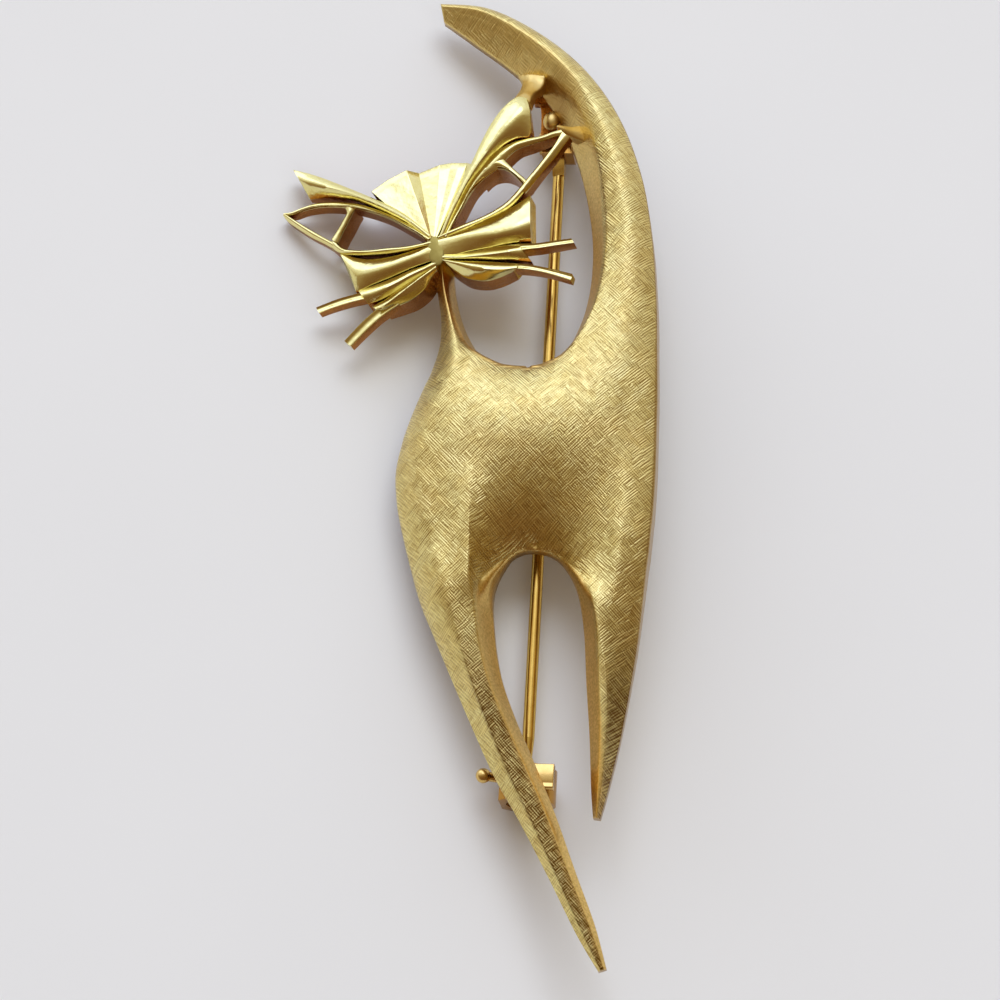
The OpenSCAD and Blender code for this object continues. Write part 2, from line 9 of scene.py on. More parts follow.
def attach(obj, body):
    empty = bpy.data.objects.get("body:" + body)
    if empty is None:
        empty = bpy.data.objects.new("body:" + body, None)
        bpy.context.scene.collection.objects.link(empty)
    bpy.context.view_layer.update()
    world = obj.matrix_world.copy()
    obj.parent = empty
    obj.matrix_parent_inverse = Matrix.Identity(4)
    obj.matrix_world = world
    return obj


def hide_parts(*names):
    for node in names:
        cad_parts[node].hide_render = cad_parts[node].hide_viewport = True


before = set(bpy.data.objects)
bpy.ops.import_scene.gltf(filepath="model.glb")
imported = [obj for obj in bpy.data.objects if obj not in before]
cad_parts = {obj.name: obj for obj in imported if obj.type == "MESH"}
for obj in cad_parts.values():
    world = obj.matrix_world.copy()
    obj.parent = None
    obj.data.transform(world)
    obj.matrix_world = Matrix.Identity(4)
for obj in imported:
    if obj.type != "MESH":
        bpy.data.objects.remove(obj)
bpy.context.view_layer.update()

MM = 0.001

# The brooch's own frame, in millimetres: the pin line at x = 0, the casting's back plane at z = 0.
# These values repeat the part's source.
BODY_W, BODY_L, RELIEF, WALL = 20.0, 50.0, 5.0, 1.1
NOSE_X, NOSE_Y, FACE_TURN, FACE_LEAN = 8.1, 16.8, 17.5, 6.0
PIN_DROP, HINGE_Y, CATCH_Y = 2.4, 27.8, 22.7
BASE_LEFT, BASE_RIGHT, HINGE_L, BASE_T = 1.5, 2.6, 3.6, 0.6
EAR_T, EAR_R, JOINT_T, SIDE_FIT, RIVET_D, RIVET_FIT = 0.7, 1.6, 0.9, 0.06, 0.9, 0.03
CATCH_D, CATCH_L, CATCH_LEFT, ROLLER_D, ROLLER_FIT, THROAT_W = 4.5, 2.4, 1.8, 2.6, 0.05, 1.3
LEVER_D, LEVER_FIT, LEVER_RISE = 0.7, 0.08, 30.0
LIE_DEG, LIE_PITCH, LIE_X, LIE_Y, LIE_H = 13.1, 0.5, 6.06, 0.55, 4.413

LYING = (Matrix.Translation(Vector((LIE_X, -LIE_Y, LIE_H)) * MM)
         @ Matrix.Rotation(math.radians(-LIE_PITCH), 4, "X")
         @ Matrix.Rotation(math.radians(-LIE_DEG), 4, "Y")
         @ Matrix.Scale(MM, 4))
FACE_PLACE = (Matrix.Translation((-NOSE_X, NOSE_Y, 0.0))
              @ Matrix.Rotation(math.radians(FACE_TURN), 4, "Z")
              @ Matrix.Rotation(math.radians(-FACE_LEAN), 4, "Y"))

# Body, as rows of cross sections down the brooch. OX, OY and IX, IY place the outer and the inner edge, as
# shares of the body's width and length. LIP, CROWN, CREST and FOOT are heights from the outer edge inwards,
# as shares of the relief. CROWN lies at PEAK, and the slope down to the inner edge takes up BAND, both shares
# of the section. HOLLOW is how much the back is hollowed. JOIN is 1 where both lofts meet, TURN is 1 where
# the inner edge breaks, and SOFT rounds the slope.
OX, OY, IX, IY, LIP, CROWN, PEAK, CREST, BAND, FOOT, HOLLOW, JOIN, TURN, SOFT = range(14)

BACK_ROWS = np.array([
    [-0.475, 0.76, -0.46, 0.732, 0.2, 0.3, 0.3, 0.26, 0.5, 0.18, 0, 0, 0, 0],
    [-0.282, 0.747, -0.345, 0.698, 0.3, 0.5, 0.28, 0.44, 0.56, 0.18, 0, 0, 0, 0],
    [-0.075, 0.701, -0.18, 0.648, 0.38, 0.6, 0.3, 0.54, 0.54, 0.18, 0.2, 0, 0, 0],
    [0.105, 0.638, -0.04, 0.594, 0.44, 0.68, 0.34, 0.6, 0.48, 0.18, 0.4, 0, 0, 0],
    [0.245, 0.557, 0.062, 0.522, 0.48, 0.72, 0.38, 0.64, 0.42, 0.18, 0.7, 0, 0, 0],
    [0.342, 0.458, 0.13, 0.436, 0.52, 0.76, 0.4, 0.66, 0.33, 0.18, 0.9, 0, 0, 0],
    [0.393, 0.354, 0.164, 0.344, 0.54, 0.78, 0.42, 0.66, 0.26, 0.18, 1, 0, 0, 0],
    [0.419, 0.252, 0.146, 0.254, 0.56, 0.8, 0.43, 0.72, 0.19, 0.18, 1, 0, 0, 0],
    [0.428, 0.18, 0.072, 0.18, 0.58, 0.84, 0.45, 0.76, 0.13, 0.18, 1, 0, 0, 0.1],
    [0.433, 0.14, 0.014, 0.16, 0.6, 0.87, 0.48, 0.8, 0.11, 0.18, 1, 0, 0, 0.2],
    [0.436, 0.108, -0.046, 0.154, 0.6, 0.87, 0.48, 0.82, 0.1, 0.18, 1, 0, 1, 0.3],
    [0.437, 0.09, -0.046, 0.146, 0.59, 0.87, 0.48, 0.8, 0.26, 0.44, 1, 1, 0, 0.5],
    [0.438, 0.058, -0.044, 0.128, 0.58, 0.86, 0.48, 0.87, 0.32, 0.72, 1, 1, 0, 0.8],
    [0.44, 0.02, -0.038, 0.084, 0.58, 0.86, 0.48, 0.92, 0.4, 0.89, 1, 1, 0, 1],
    [0.44, -0.026, -0.028, 0.018, 0.58, 0.85, 0.46, 0.88, 0.46, 0.84, 1, 1, 0, 1],
    [0.437, -0.07, -0.012, -0.048, 0.56, 0.83, 0.44, 0.8, 0.48, 0.62, 1, 1, 0, 1],
    [0.432, -0.102, 0, -0.096, 0.56, 0.81, 0.42, 0.73, 0.48, 0.38, 1, 1, 0, 1],
    [0.428, -0.128, 0.006, -0.122, 0.52, 0.78, 0.4, 0.69, 0.48, 0.2, 1, 0, 1, 1],
    [0.422, -0.152, 0.062, -0.127, 0.48, 0.76, 0.4, 0.675, 0.44, 0.18, 1, 0, 0, 0.9],
    [0.416, -0.182, 0.116, -0.145, 0.42, 0.74, 0.5, 0.68, 0.34, 0.16, 1, 0, 0, 0.6],
    [0.407, -0.226, 0.166, -0.182, 0.34, 0.71, 0.64, 0.68, 0.27, 0.16, 0.8, 0, 0, 0.3],
    [0.395, -0.276, 0.198, -0.24, 0.28, 0.65, 0.66, 0.64, 0.31, 0.16, 0.6, 0, 0, 0.1],
    [0.374, -0.34, 0.218, -0.324, 0.24, 0.56, 0.48, 0.54, 0.36, 0.16, 0.3, 0, 0, 0],
    [0.348, -0.408, 0.238, -0.4, 0.2, 0.47, 0.4, 0.46, 0.42, 0.16, 0, 0, 0, 0],
    [0.315, -0.476, 0.252, -0.474, 0.18, 0.37, 0.34, 0.36, 0.5, 0.16, 0, 0, 0, 0],
    [0.29, -0.519, 0.264, -0.518, 0.16, 0.25, 0.34, 0.24, 0.5, 0.14, 0, 0, 0, 0],
])

FLANK_ROWS = np.array([
    [-0.44, 0.352, -0.37, 0.352, 0.24, 0.62, 0.5, 0.54, 0.3, 0.2, 0, 0, 0, 0],
    [-0.42, 0.29, -0.348, 0.28, 0.22, 0.56, 0.5, 0.48, 0.3, 0.18, 0, 0, 0, 0],
    [-0.394, 0.236, -0.302, 0.222, 0.22, 0.62, 0.5, 0.54, 0.28, 0.18, 0, 0, 0, 0],
    [-0.394, 0.192, -0.238, 0.18, 0.22, 0.72, 0.5, 0.64, 0.26, 0.18, 0.4, 0, 0, 0],
    [-0.42, 0.15, -0.16, 0.16, 0.22, 0.86, 0.5, 0.78, 0.18, 0.18, 0.8, 0, 0, 0.1],
    [-0.442, 0.128, -0.108, 0.155, 0.22, 0.91, 0.48, 0.8, 0.14, 0.18, 1, 0, 0, 0.2],
    [-0.46, 0.108, -0.046, 0.154, 0.22, 0.95, 0.48, 0.82, 0.11, 0.18, 1, 0, 1, 0.3],
    [-0.472, 0.094, -0.046, 0.146, 0.22, 0.97, 0.48, 0.82, 0.28, 0.44, 1, 1, 0, 0.5],
    [-0.488, 0.074, -0.044, 0.128, 0.22, 0.99, 0.48, 0.88, 0.34, 0.72, 1, 1, 0, 0.8],
    [-0.51, 0.04, -0.038, 0.084, 0.22, 1, 0.48, 0.94, 0.4, 0.89, 1, 1, 0, 1],
    [-0.527, -0.008, -0.028, 0.018, 0.22, 1, 0.5, 0.95, 0.44, 0.84, 1, 1, 0, 1],
    [-0.515, -0.056, -0.012, -0.048, 0.22, 0.98, 0.52, 0.93, 0.44, 0.62, 1, 1, 0, 1],
    [-0.497, -0.088, 0, -0.096, 0.22, 0.95, 0.53, 0.89, 0.43, 0.38, 1, 1, 0, 1],
    [-0.482, -0.11, 0.006, -0.122, 0.22, 0.92, 0.54, 0.86, 0.42, 0.2, 1, 0, 1, 1],
    [-0.466, -0.132, -0.04, -0.124, 0.22, 0.91, 0.57, 0.84, 0.36, 0.18, 1, 0, 0, 0.9],
    [-0.446, -0.158, -0.09, -0.139, 0.22, 0.87, 0.5, 0.82, 0.25, 0.16, 1, 0, 0, 0.6],
    [-0.404, -0.208, -0.136, -0.184, 0.22, 0.79, 0.45, 0.76, 0.24, 0.16, 0.8, 0, 0, 0.3],
    [-0.342, -0.262, -0.13, -0.24, 0.2, 0.7, 0.42, 0.68, 0.26, 0.16, 0.6, 0, 0, 0.1],
    [-0.262, -0.33, -0.095, -0.312, 0.2, 0.61, 0.4, 0.59, 0.27, 0.16, 0.3, 0, 0, 0],
    [-0.18, -0.398, -0.03, -0.378, 0.18, 0.52, 0.38, 0.51, 0.26, 0.16, 0, 0, 0, 0],
    [-0.096, -0.464, 0.044, -0.44, 0.18, 0.45, 0.35, 0.44, 0.25, 0.16, 0, 0, 0, 0],
    [0.006, -0.53, 0.128, -0.514, 0.18, 0.39, 0.32, 0.38, 0.25, 0.16, 0, 0, 0, 0],
    [0.12, -0.61, 0.21, -0.596, 0.16, 0.32, 0.31, 0.31, 0.25, 0.16, 0, 0, 0, 0],
    [0.224, -0.686, 0.288, -0.672, 0.16, 0.26, 0.31, 0.25, 0.26, 0.14, 0, 0, 0, 0],
    [0.308, -0.738, 0.336, -0.734, 0.14, 0.2, 0.31, 0.19, 0.28, 0.14, 0, 0, 0, 0],
])

# Crease at the left of the belly's hollow, in millimetres: along the trunk, across, height, and how firmly it
# holds
CREASE = np.array([
    [3.0, -4.5, 4.50, 0.0],
    [0.0, -4.5, 4.55, 0.0],
    [-1.5, -4.5, 4.7, 0.2],
    [-2.5, -4.5, 4.7, 0.8],
    [-5.0, -4.42, 4.6, 1.0],
    [-9.2, -4.28, 4.25, 1.0],
    [-11.6, -3.94, 3.95, 1.0],
])

# Inner rims of the trunk, in millimetres: along the trunk, the height that the surface reaches at the rim's
# round edge, and the width of that edge
RIMS = np.array([
    [8.0, 3.6, 0.6],
    [6.0, 3.6, 0.6],
    [0.0, 1.3, 0.2],
    [-6.4, 1.2, 0.2],
    [-7.5, 1.8, 0.5],
    [-9.0, 2.9, 0.9],
    [-12.0, 3.4, 1.1],
])

# Height of the rims' foot, in millimetres
RIM_FOOT = 0.9

# Places up the brooch and widths of the smooth band along the inner edges there, in millimetres
SMOOTH_WIDTH = ((-37, 0.45), (-30, 0.8), (-22, 1.0), (-14, 1.0), (-10, 1.0), (-7.6, 0.4), (-6.6, 0.05),
                (0, 0.3), (5, 0.6), (20, 1.0), (25, 1.5), (30, 2.3), (35, 2.5), (38, 1.5))

# Share of engraving that the band keeps on the tail, and between which places up the brooch it sets in
TAIL_SHARE, TAIL_UPS = 0.6, (20.0, 29.0)

# Face tables, in the face's own frame: across, up and height of the upper edge, the ridge and the lower edge,
# then the underside's height
LEFT_BLADE = [
    (0.04, 0.95, 3.9, -0.06, 0.78, 4, -0.19, 0.69, 3.9, 0.7),
    (-0.98, 2.57, 3.9, -1.08, 2.31, 4.1, -1.31, 2.3, 3.8, 0.7),
    (-1.95, 3.82, 3.85, -2.05, 3.44, 4.15, -2.39, 3.48, 3.7, 0.8),
    (-3.11, 4.97, 3.8, -3.21, 4.56, 4.15, -3.57, 4.61, 3.6, 0.9),
    (-4.3, 6.07, 3.7, -4.39, 5.57, 4.15, -4.86, 5.66, 3.5, 1),
    (-5.44, 7.1, 3.6, -5.53, 6.5, 4.1, -5.89, 6.23, 3.3, 1.2),
    (-6.65, 8.17, 3.5, -6.86, 7.43, 4, -6.86, 6.74, 3.1, 1.5),
    (-7.82, 9.1, 3.4, -8, 8.26, 3.8, -7.72, 7.08, 2.9, 1.8),
    (-8.9, 9.86, 3.2, -8.61, 8.73, 3.5, -8.29, 7.27, 2.7, 2),
]
LEFT_UPPER_BAR = [
    (0.03, 0.62, 3.9, -0.2, 0.57, 4, -0.51, 0.76, 3.8, 1.9),
    (-0.65, 1.48, 3.8, -0.73, 1.26, 4, -0.87, 1.3, 3.7, 1.9),
    (-1.39, 2.41, 3.7, -1.48, 2.13, 3.95, -1.7, 2.22, 3.6, 1.9),
    (-2.28, 3.4, 3.6, -2.36, 3.09, 3.9, -2.59, 3.21, 3.5, 1.9),
    (-3.33, 4.34, 3.55, -3.49, 4.08, 3.8, -3.72, 4.17, 3.45, 1.9),
    (-4.42, 5.16, 3.5, -4.59, 4.93, 3.7, -4.82, 4.92, 3.4, 1.9),
    (-5.42, 5.7, 3.45, -5.51, 5.44, 3.65, -5.69, 5.37, 3.35, 1.9),
    (-6.38, 6.1, 3.4, -6.48, 5.86, 3.55, -6.64, 5.8, 3.3, 1.9),
    (-7.67, 6.52, 3.3, -7.69, 6.28, 3.45, -7.7, 6.15, 3.2, 1.9),
    (-8.88, 6.63, 3.2, -8.82, 6.43, 3.3, -8.74, 6.32, 3.1, 1.9),
    (-9.88, 6.59, 3.1, -9.82, 6.44, 3.15, -9.73, 6.32, 3, 1.9),
    (-10.51, 6.76, 3, -10.45, 6.63, 3.05, -10.42, 6.54, 2.95, 1.9),
]
LEFT_CROSS_BAR = [
    (-5.87, 5.6, 3.35, -5.48, 5.4, 3.5, -4.93, 5.19, 3.35, 0.9),
    (-5.73, 5.04, 3.35, -5.53, 4.87, 3.5, -5.32, 4.79, 3.3, 0.9),
    (-6.24, 4.47, 3.3, -6.02, 4.25, 3.45, -5.85, 4.18, 3.25, 0.9),
    (-6.79, 3.92, 3.25, -6.58, 3.65, 3.4, -6.4, 3.59, 3.2, 0.9),
    (-7.42, 3.39, 3.2, -7.21, 3.08, 3.35, -6.98, 2.89, 3.2, 0.9),
]
LEFT_LOWER_BAR = [
    (-10.44, 6.74, 3, -10.49, 6.65, 3.05, -10.58, 6.61, 2.9, 2),
    (-9.87, 6.07, 3, -10.02, 5.99, 3.1, -10.34, 6.05, 2.8, 2),
    (-9.18, 5.21, 3.05, -9.34, 5.1, 3.15, -9.67, 5.14, 2.8, 2),
    (-8.42, 4.33, 3.1, -8.59, 4.17, 3.2, -8.91, 4.21, 2.85, 2),
    (-7.71, 3.55, 3.15, -7.88, 3.4, 3.25, -8.13, 3.41, 2.9, 2),
    (-7.12, 2.94, 3.2, -7.37, 2.82, 3.3, -7.62, 2.83, 2.95, 2),
]
LEFT_CHEEK_RIM = [
    (-7.21, 3.23, 3.2, -7.39, 3.04, 3.3, -7.65, 2.95, 3, 1.6),
    (-6.75, 2.39, 3.3, -6.84, 2.2, 3.45, -7.16, 2.23, 3.1, 1.6),
    (-6.03, 1.91, 3.45, -6.04, 1.69, 3.65, -6.32, 1.65, 3.2, 1.6),
    (-4.84, 1.44, 3.6, -4.84, 1.22, 3.8, -5, 1.07, 3.3, 1.6),
    (-3.46, 1.08, 3.75, -3.47, 0.83, 3.95, -3.56, 0.64, 3.45, 1.6),
    (-2.03, 0.67, 3.85, -2.05, 0.45, 4, -2.01, 0.34, 3.6, 1.6),
    (-0.88, 0.47, 3.9, -0.9, 0.29, 4, -0.89, 0.24, 3.75, 1.6),
    (0.14, 0.41, 3.9, 0.1, 0.23, 3.95, 0.05, 0.12, 3.85, 1.6),
]
LEFT_CHEEK_RIB = [
    (-7.13, 2.41, 3.05, -6.67, 0.46, 3.3, -6.62, -1.29, 3, 0.8),
    (-6.21, 1.5, 3.15, -6.07, -0.11, 3.7, -6.1, -1.34, 3.2, 0.7),
    (-4.91, 0.79, 3.3, -4.96, -0.44, 4, -5.19, -1.27, 3.3, 0.7),
    (-3.3, 0.42, 3.45, -3.38, -0.56, 4.1, -3.64, -1.21, 3.4, 0.7),
    (-1.71, 0.28, 3.6, -1.78, -0.48, 4.1, -2.07, -1.09, 3.55, 0.7),
    (-0.58, 0.21, 3.75, -0.65, -0.34, 4.05, -1, -1.09, 3.7, 0.7),
    (0.31, 0.2, 3.85, 0.22, -0.23, 3.95, -0.03, -1.11, 3.85, 0.7),
]
LEFT_WHISKER_1_BASE = [
    (-6.42, -1.31, 3.2, -6.17, -1.95, 3.55, -5.96, -2.57, 3.1, 1.4),
    (-5.03, -1.34, 3.35, -4.87, -2.13, 3.85, -4.92, -2.6, 3.15, 0.9),
    (-3.57, -1.29, 3.45, -3.45, -2, 4, -3.49, -2.4, 3.3, 0.7),
    (-2.08, -1.19, 3.6, -2.04, -1.73, 4, -2.18, -2.06, 3.45, 0.7),
    (-0.95, -1.26, 3.75, -0.98, -1.6, 4, -1.12, -1.83, 3.65, 0.7),
    (-0.04, -1.19, 3.85, -0.09, -1.46, 3.95, -0.17, -1.63, 3.8, 0.7),
]
LEFT_WHISKER_2_BASE = [
    (-5.7, -2.82, 3.1, -5.37, -3.38, 3.4, -4.82, -3.55, 2.9, 1.2),
    (-4.69, -2.64, 3.15, -4.36, -3.19, 3.75, -3.82, -3.43, 3, 0.9),
    (-3.47, -2.32, 3.3, -3.1, -2.77, 3.95, -2.65, -3.28, 3.1, 0.7),
    (-2.24, -2, 3.45, -1.96, -2.35, 4, -1.57, -2.85, 3.2, 0.7),
    (-1.19, -1.77, 3.65, -1.02, -2.02, 3.95, -0.91, -2.31, 3.4, 0.7),
    (-0.22, -1.53, 3.8, -0.18, -1.75, 3.9, -0.19, -1.92, 3.7, 0.7),
]
RIGHT_BLADE = [
    (0.65, 0.57, 3.9, 0.79, 0.46, 3.95, 0.92, 0.41, 3.85, 0.7),
    (2.02, 2.42, 4, 2.21, 2.18, 4.1, 2.35, 2.13, 3.7, 0.8),
    (3.43, 4.19, 4.05, 3.69, 3.81, 4.25, 3.79, 3.75, 3.7, 0.8),
    (4.56, 5.48, 4.1, 4.87, 4.86, 4.4, 5.03, 4.76, 3.8, 0.9),
    (5.6, 6.74, 4.1, 6.08, 5.73, 4.55, 6.17, 5.51, 3.8, 1),
    (6.71, 7.99, 4.05, 7.28, 6.63, 4.65, 7.41, 6.1, 3.7, 1.2),
    (8, 9.02, 4, 8.51, 7.46, 4.6, 8.39, 6.31, 3.6, 1.6),
    (9.12, 9.53, 3.8, 9.41, 8.04, 4.4, 9.06, 6.2, 3.5, 2),
    (9.8, 9.33, 3.5, 9.84, 8.19, 3.8, 9.41, 6.55, 3.4, 2.2),
]
RIGHT_UPPER_BAR = [
    (0.92, 0.41, 3.85, 1.16, 0.37, 3.95, 1.29, 0.39, 3.8, 1.9),
    (1.71, 1.42, 3.8, 1.9, 1.25, 3.95, 1.95, 1.21, 3.7, 1.9),
    (2.61, 2.49, 3.75, 2.83, 2.24, 3.95, 2.92, 2.25, 3.65, 1.9),
    (3.62, 3.66, 3.75, 3.84, 3.35, 4, 3.99, 3.32, 3.65, 1.9),
    (4.66, 4.59, 3.8, 4.93, 4.18, 4.05, 5.12, 4, 3.7, 1.9),
    (5.72, 5.26, 3.85, 5.95, 4.73, 4.1, 6.19, 4.35, 3.8, 1.9),
    (6.73, 5.8, 3.85, 6.96, 5.27, 4.1, 7.04, 4.91, 3.8, 1.9),
    (7.9, 6.06, 3.8, 8, 5.68, 4, 8.02, 5.41, 3.7, 1.9),
    (9.06, 6.01, 3.75, 9.09, 5.72, 3.9, 9.13, 5.47, 3.65, 1.9),
    (10.04, 5.94, 3.6, 10.08, 5.69, 3.75, 10.14, 5.52, 3.5, 1.9),
    (10.9, 6.06, 3.4, 10.94, 5.84, 3.5, 11.01, 5.64, 3.3, 1.9),
    (11.59, 6.12, 3.2, 11.6, 5.84, 3.25, 11.67, 5.62, 3.1, 1.9),
]
RIGHT_CROSS_BAR = [
    (5.64, 4.93, 3.9, 5.25, 4.47, 4.1, 4.77, 4.11, 3.75, 0.8),
    (6.65, 5.13, 3.9, 6.19, 4.74, 4.1, 5.49, 4.45, 3.75, 0.8),
    (7, 4.69, 3.85, 6.65, 4.42, 4.05, 6.25, 4.39, 3.7, 0.8),
    (7.37, 4.03, 3.8, 7.12, 3.88, 3.95, 6.86, 4.01, 3.65, 0.8),
    (7.74, 3.43, 3.7, 7.57, 3.25, 3.85, 7.32, 3.4, 3.6, 0.8),
    (8.11, 2.83, 3.6, 7.93, 2.62, 3.75, 7.66, 2.69, 3.5, 0.8),
]
RIGHT_LOWER_BAR = [
    (11.62, 5.94, 3.2, 11.78, 5.58, 3.3, 12.06, 5.31, 3.1, 2.1),
    (10.99, 5.24, 3.35, 11.13, 4.91, 3.5, 11.27, 4.7, 3.1, 2.1),
    (10.19, 4.54, 3.45, 10.33, 4.22, 3.6, 10.47, 4, 3.2, 2.1),
    (9.21, 3.74, 3.55, 9.36, 3.45, 3.7, 9.52, 3.31, 3.3, 2.1),
    (8.25, 3.01, 3.65, 8.39, 2.69, 3.8, 8.55, 2.57, 3.35, 2.1),
    (7.29, 2.31, 3.7, 7.44, 1.96, 3.9, 7.57, 1.83, 3.4, 2.1),
    (6.26, 1.64, 3.75, 6.37, 1.3, 3.95, 6.48, 1.22, 3.45, 2.1),
    (5.06, 1.23, 3.8, 5.14, 0.91, 4, 5.21, 0.84, 3.5, 2.1),
    (3.82, 1.03, 3.8, 3.87, 0.72, 4, 3.9, 0.64, 3.55, 2.1),
    (2.62, 0.94, 3.8, 2.63, 0.64, 4, 2.63, 0.49, 3.65, 2.1),
    (1.56, 0.78, 3.85, 1.54, 0.56, 4, 1.52, 0.41, 3.75, 2.1),
    (0.58, 0.59, 3.9, 0.55, 0.46, 3.95, 0.51, 0.38, 3.85, 2.1),
]
RIGHT_CHEEK = [
    (0.52, 0.42, 3.85, 0.48, 0.12, 4, 0.32, -0.98, 3.85, 0.7),
    (1.62, 0.46, 3.75, 1.64, -0.06, 4.1, 1.42, -1.17, 3.7, 0.7),
    (2.72, 0.54, 3.65, 2.82, -0.22, 4.25, 2.57, -1.24, 3.6, 0.7),
    (4.01, 0.73, 3.55, 4.09, -0.61, 4.4, 3.84, -1.39, 3.5, 0.7),
    (5.31, 0.93, 3.5, 5.35, -0.9, 4.45, 5.13, -1.5, 3.4, 0.8),
    (6.64, 1.24, 3.45, 6.57, -0.99, 4.4, 6.24, -1.67, 3.3, 0.9),
    (8.01, 1.68, 3.4, 7.5, -0.88, 4.2, 7.12, -1.85, 3.2, 1.2),
]
RIGHT_WHISKER_1_BASE = [
    (0.36, -0.83, 3.85, 0.39, -1.13, 3.95, 0.55, -1.31, 3.85, 0.7),
    (1.51, -1.12, 3.7, 1.54, -1.59, 4, 1.69, -1.68, 3.7, 0.7),
    (2.71, -1.29, 3.6, 2.81, -1.9, 4.05, 2.88, -2.06, 3.5, 0.7),
    (3.92, -1.39, 3.5, 4.07, -2.18, 4.05, 4.09, -2.48, 3.4, 0.8),
    (5.12, -1.53, 3.4, 5.34, -2.39, 4, 5.36, -2.88, 3.2, 0.9),
    (6.23, -1.77, 3.35, 6.31, -2.44, 3.8, 6.76, -3.37, 3, 1.1),
]
RIGHT_WHISKER_2_BASE = [
    (0.27, -1.17, 3.85, 0.47, -1.41, 3.95, 0.66, -1.71, 3.7, 0.7),
    (1.39, -1.65, 3.75, 1.51, -2.03, 4, 1.05, -2.27, 3.3, 0.7),
    (2.52, -2.02, 3.6, 2.54, -2.66, 4.05, 1.76, -3.03, 3.1, 0.7),
    (3.65, -2.43, 3.5, 3.56, -3.2, 4, 2.91, -3.58, 2.9, 0.8),
    (4.78, -2.86, 3.4, 4.62, -3.55, 3.85, 4.06, -3.7, 2.9, 0.9),
    (5.75, -3.26, 3.3, 5.63, -3.67, 3.6, 5.28, -3.6, 3, 1.1),
]
LEFT_WHISKER_1 = [
    (-4.66, -1.4, 3.3, -4.56, -1.8, 3.15, -4.42, -2.33, 3.3, 2.1),
    (-5.8, -1.52, 3.3, -5.76, -1.79, 3.1, -5.66, -2.2, 3.3, 2.1),
    (-6.92, -1.52, 3.3, -6.93, -1.69, 3.1, -6.89, -2.07, 3.3, 2.1),
    (-8.03, -1.45, 3.25, -8.04, -1.63, 3.05, -8, -2.01, 3.25, 2.1),
    (-9, -1.48, 3.2, -9.02, -1.65, 3, -8.97, -2, 3.2, 2.1),
    (-9.83, -1.5, 3.1, -9.83, -1.65, 2.95, -9.72, -2.04, 3.1, 2.1),
]
LEFT_WHISKER_2 = [
    (-4.04, -2.71, 3.3, -3.93, -3.01, 3.1, -3.66, -3.42, 3.3, 1.9),
    (-5.1, -3.06, 3.2, -4.99, -3.36, 3, -4.81, -3.71, 3.1, 1.9),
    (-6.09, -3.46, 3.15, -5.96, -3.72, 2.95, -5.7, -4.06, 3.05, 1.9),
    (-7.19, -4.03, 3.1, -7.07, -4.29, 2.9, -6.81, -4.62, 3, 1.9),
    (-8.42, -4.74, 3, -8.29, -4.96, 2.8, -8.03, -5.3, 2.9, 1.9),
]
RIGHT_WHISKER_1 = [
    (5.42, -1.68, 3.5, 5.42, -1.89, 3.4, 5.42, -2.27, 3.5, 2),
    (6.46, -1.91, 3.5, 6.47, -2.06, 3.35, 6.48, -2.42, 3.5, 2),
    (7.47, -2.22, 3.5, 7.49, -2.33, 3.35, 7.52, -2.64, 3.5, 2),
    (8.82, -2.44, 3.45, 8.83, -2.57, 3.3, 8.86, -2.85, 3.45, 2),
    (10.08, -2.66, 3.4, 10.13, -2.79, 3.25, 10.2, -3.08, 3.4, 2.1),
]
RIGHT_WHISKER_2 = [
    (4.34, -2.73, 3.4, 4.25, -2.94, 3.25, 4.21, -3.23, 3.4, 1.9),
    (5.34, -3.12, 3.4, 5.27, -3.25, 3.25, 5.23, -3.52, 3.4, 1.9),
    (6.32, -3.54, 3.4, 6.26, -3.65, 3.25, 6.16, -3.88, 3.4, 1.9),
    (7.28, -4.02, 3.35, 7.22, -4.15, 3.2, 7.11, -4.35, 3.3, 1.9),
    (8.36, -4.66, 3.3, 8.28, -4.78, 3.1, 8.16, -5.01, 3.2, 1.9),
    (9.41, -5.31, 3.2, 9.33, -5.46, 3, 9.16, -5.73, 3.1, 1.9),
]
BROW = [
    (-3.47, 5.94, 3.6),
    (-2.06, 6.5, 3.45),
    (-0.5, 6.82, 3.38),
    (0.3, 6.6, 2.62),
    (2.0, 6.56, 2.98),
    (2.9, 6.46, 2.87),
    (3.5, 6.23, 2.92),
    (4.06, 6.06, 2.82),
    (4.39, 5.7, 3.2),
]
# Bridges from the right ear to the tail and the pad behind them, in the brooch's own frame
EAR_BRIDGE = [
    (-3.2, 31.8, 1.5, -2.2, 31.6, 2.3, -0.9, 31.3, 2.6, 0.9),
    (-2.85, 31.2, 1.8, -2.0, 30.9, 2.6, -0.9, 30.7, 2.5, 0.9),
    (-2.72, 30.6, 2.3, -2.0, 30.3, 3.0, -1.15, 30.1, 2.6, 1.2),
    (-2.75, 29.9, 2.9, -2.15, 29.7, 3.5, -1.5, 29.6, 3.0, 1.8),
    (-2.95, 29.1, 3.6, -2.3, 28.95, 4.2, -1.65, 28.9, 3.7, 2.2),
    (-3.15, 28.4, 4.1, -2.45, 28.25, 4.5, -1.75, 28.3, 4.0, 2.4),
]
BAR_BRIDGE = [
    (0.3, 26.6, 4.0, 0.35, 26.35, 4.2, 0.4, 26.1, 4.0, 3.0),
    (0.8, 26.75, 3.5, 0.85, 26.4, 3.75, 0.9, 26.05, 3.5, 2.4),
    (1.4, 27.0, 2.8, 1.5, 26.5, 3.0, 1.6, 26.0, 2.8, 1.6),
    (2.2, 27.4, 2.2, 2.4, 26.6, 2.4, 2.6, 25.8, 2.2, 1.0),
]
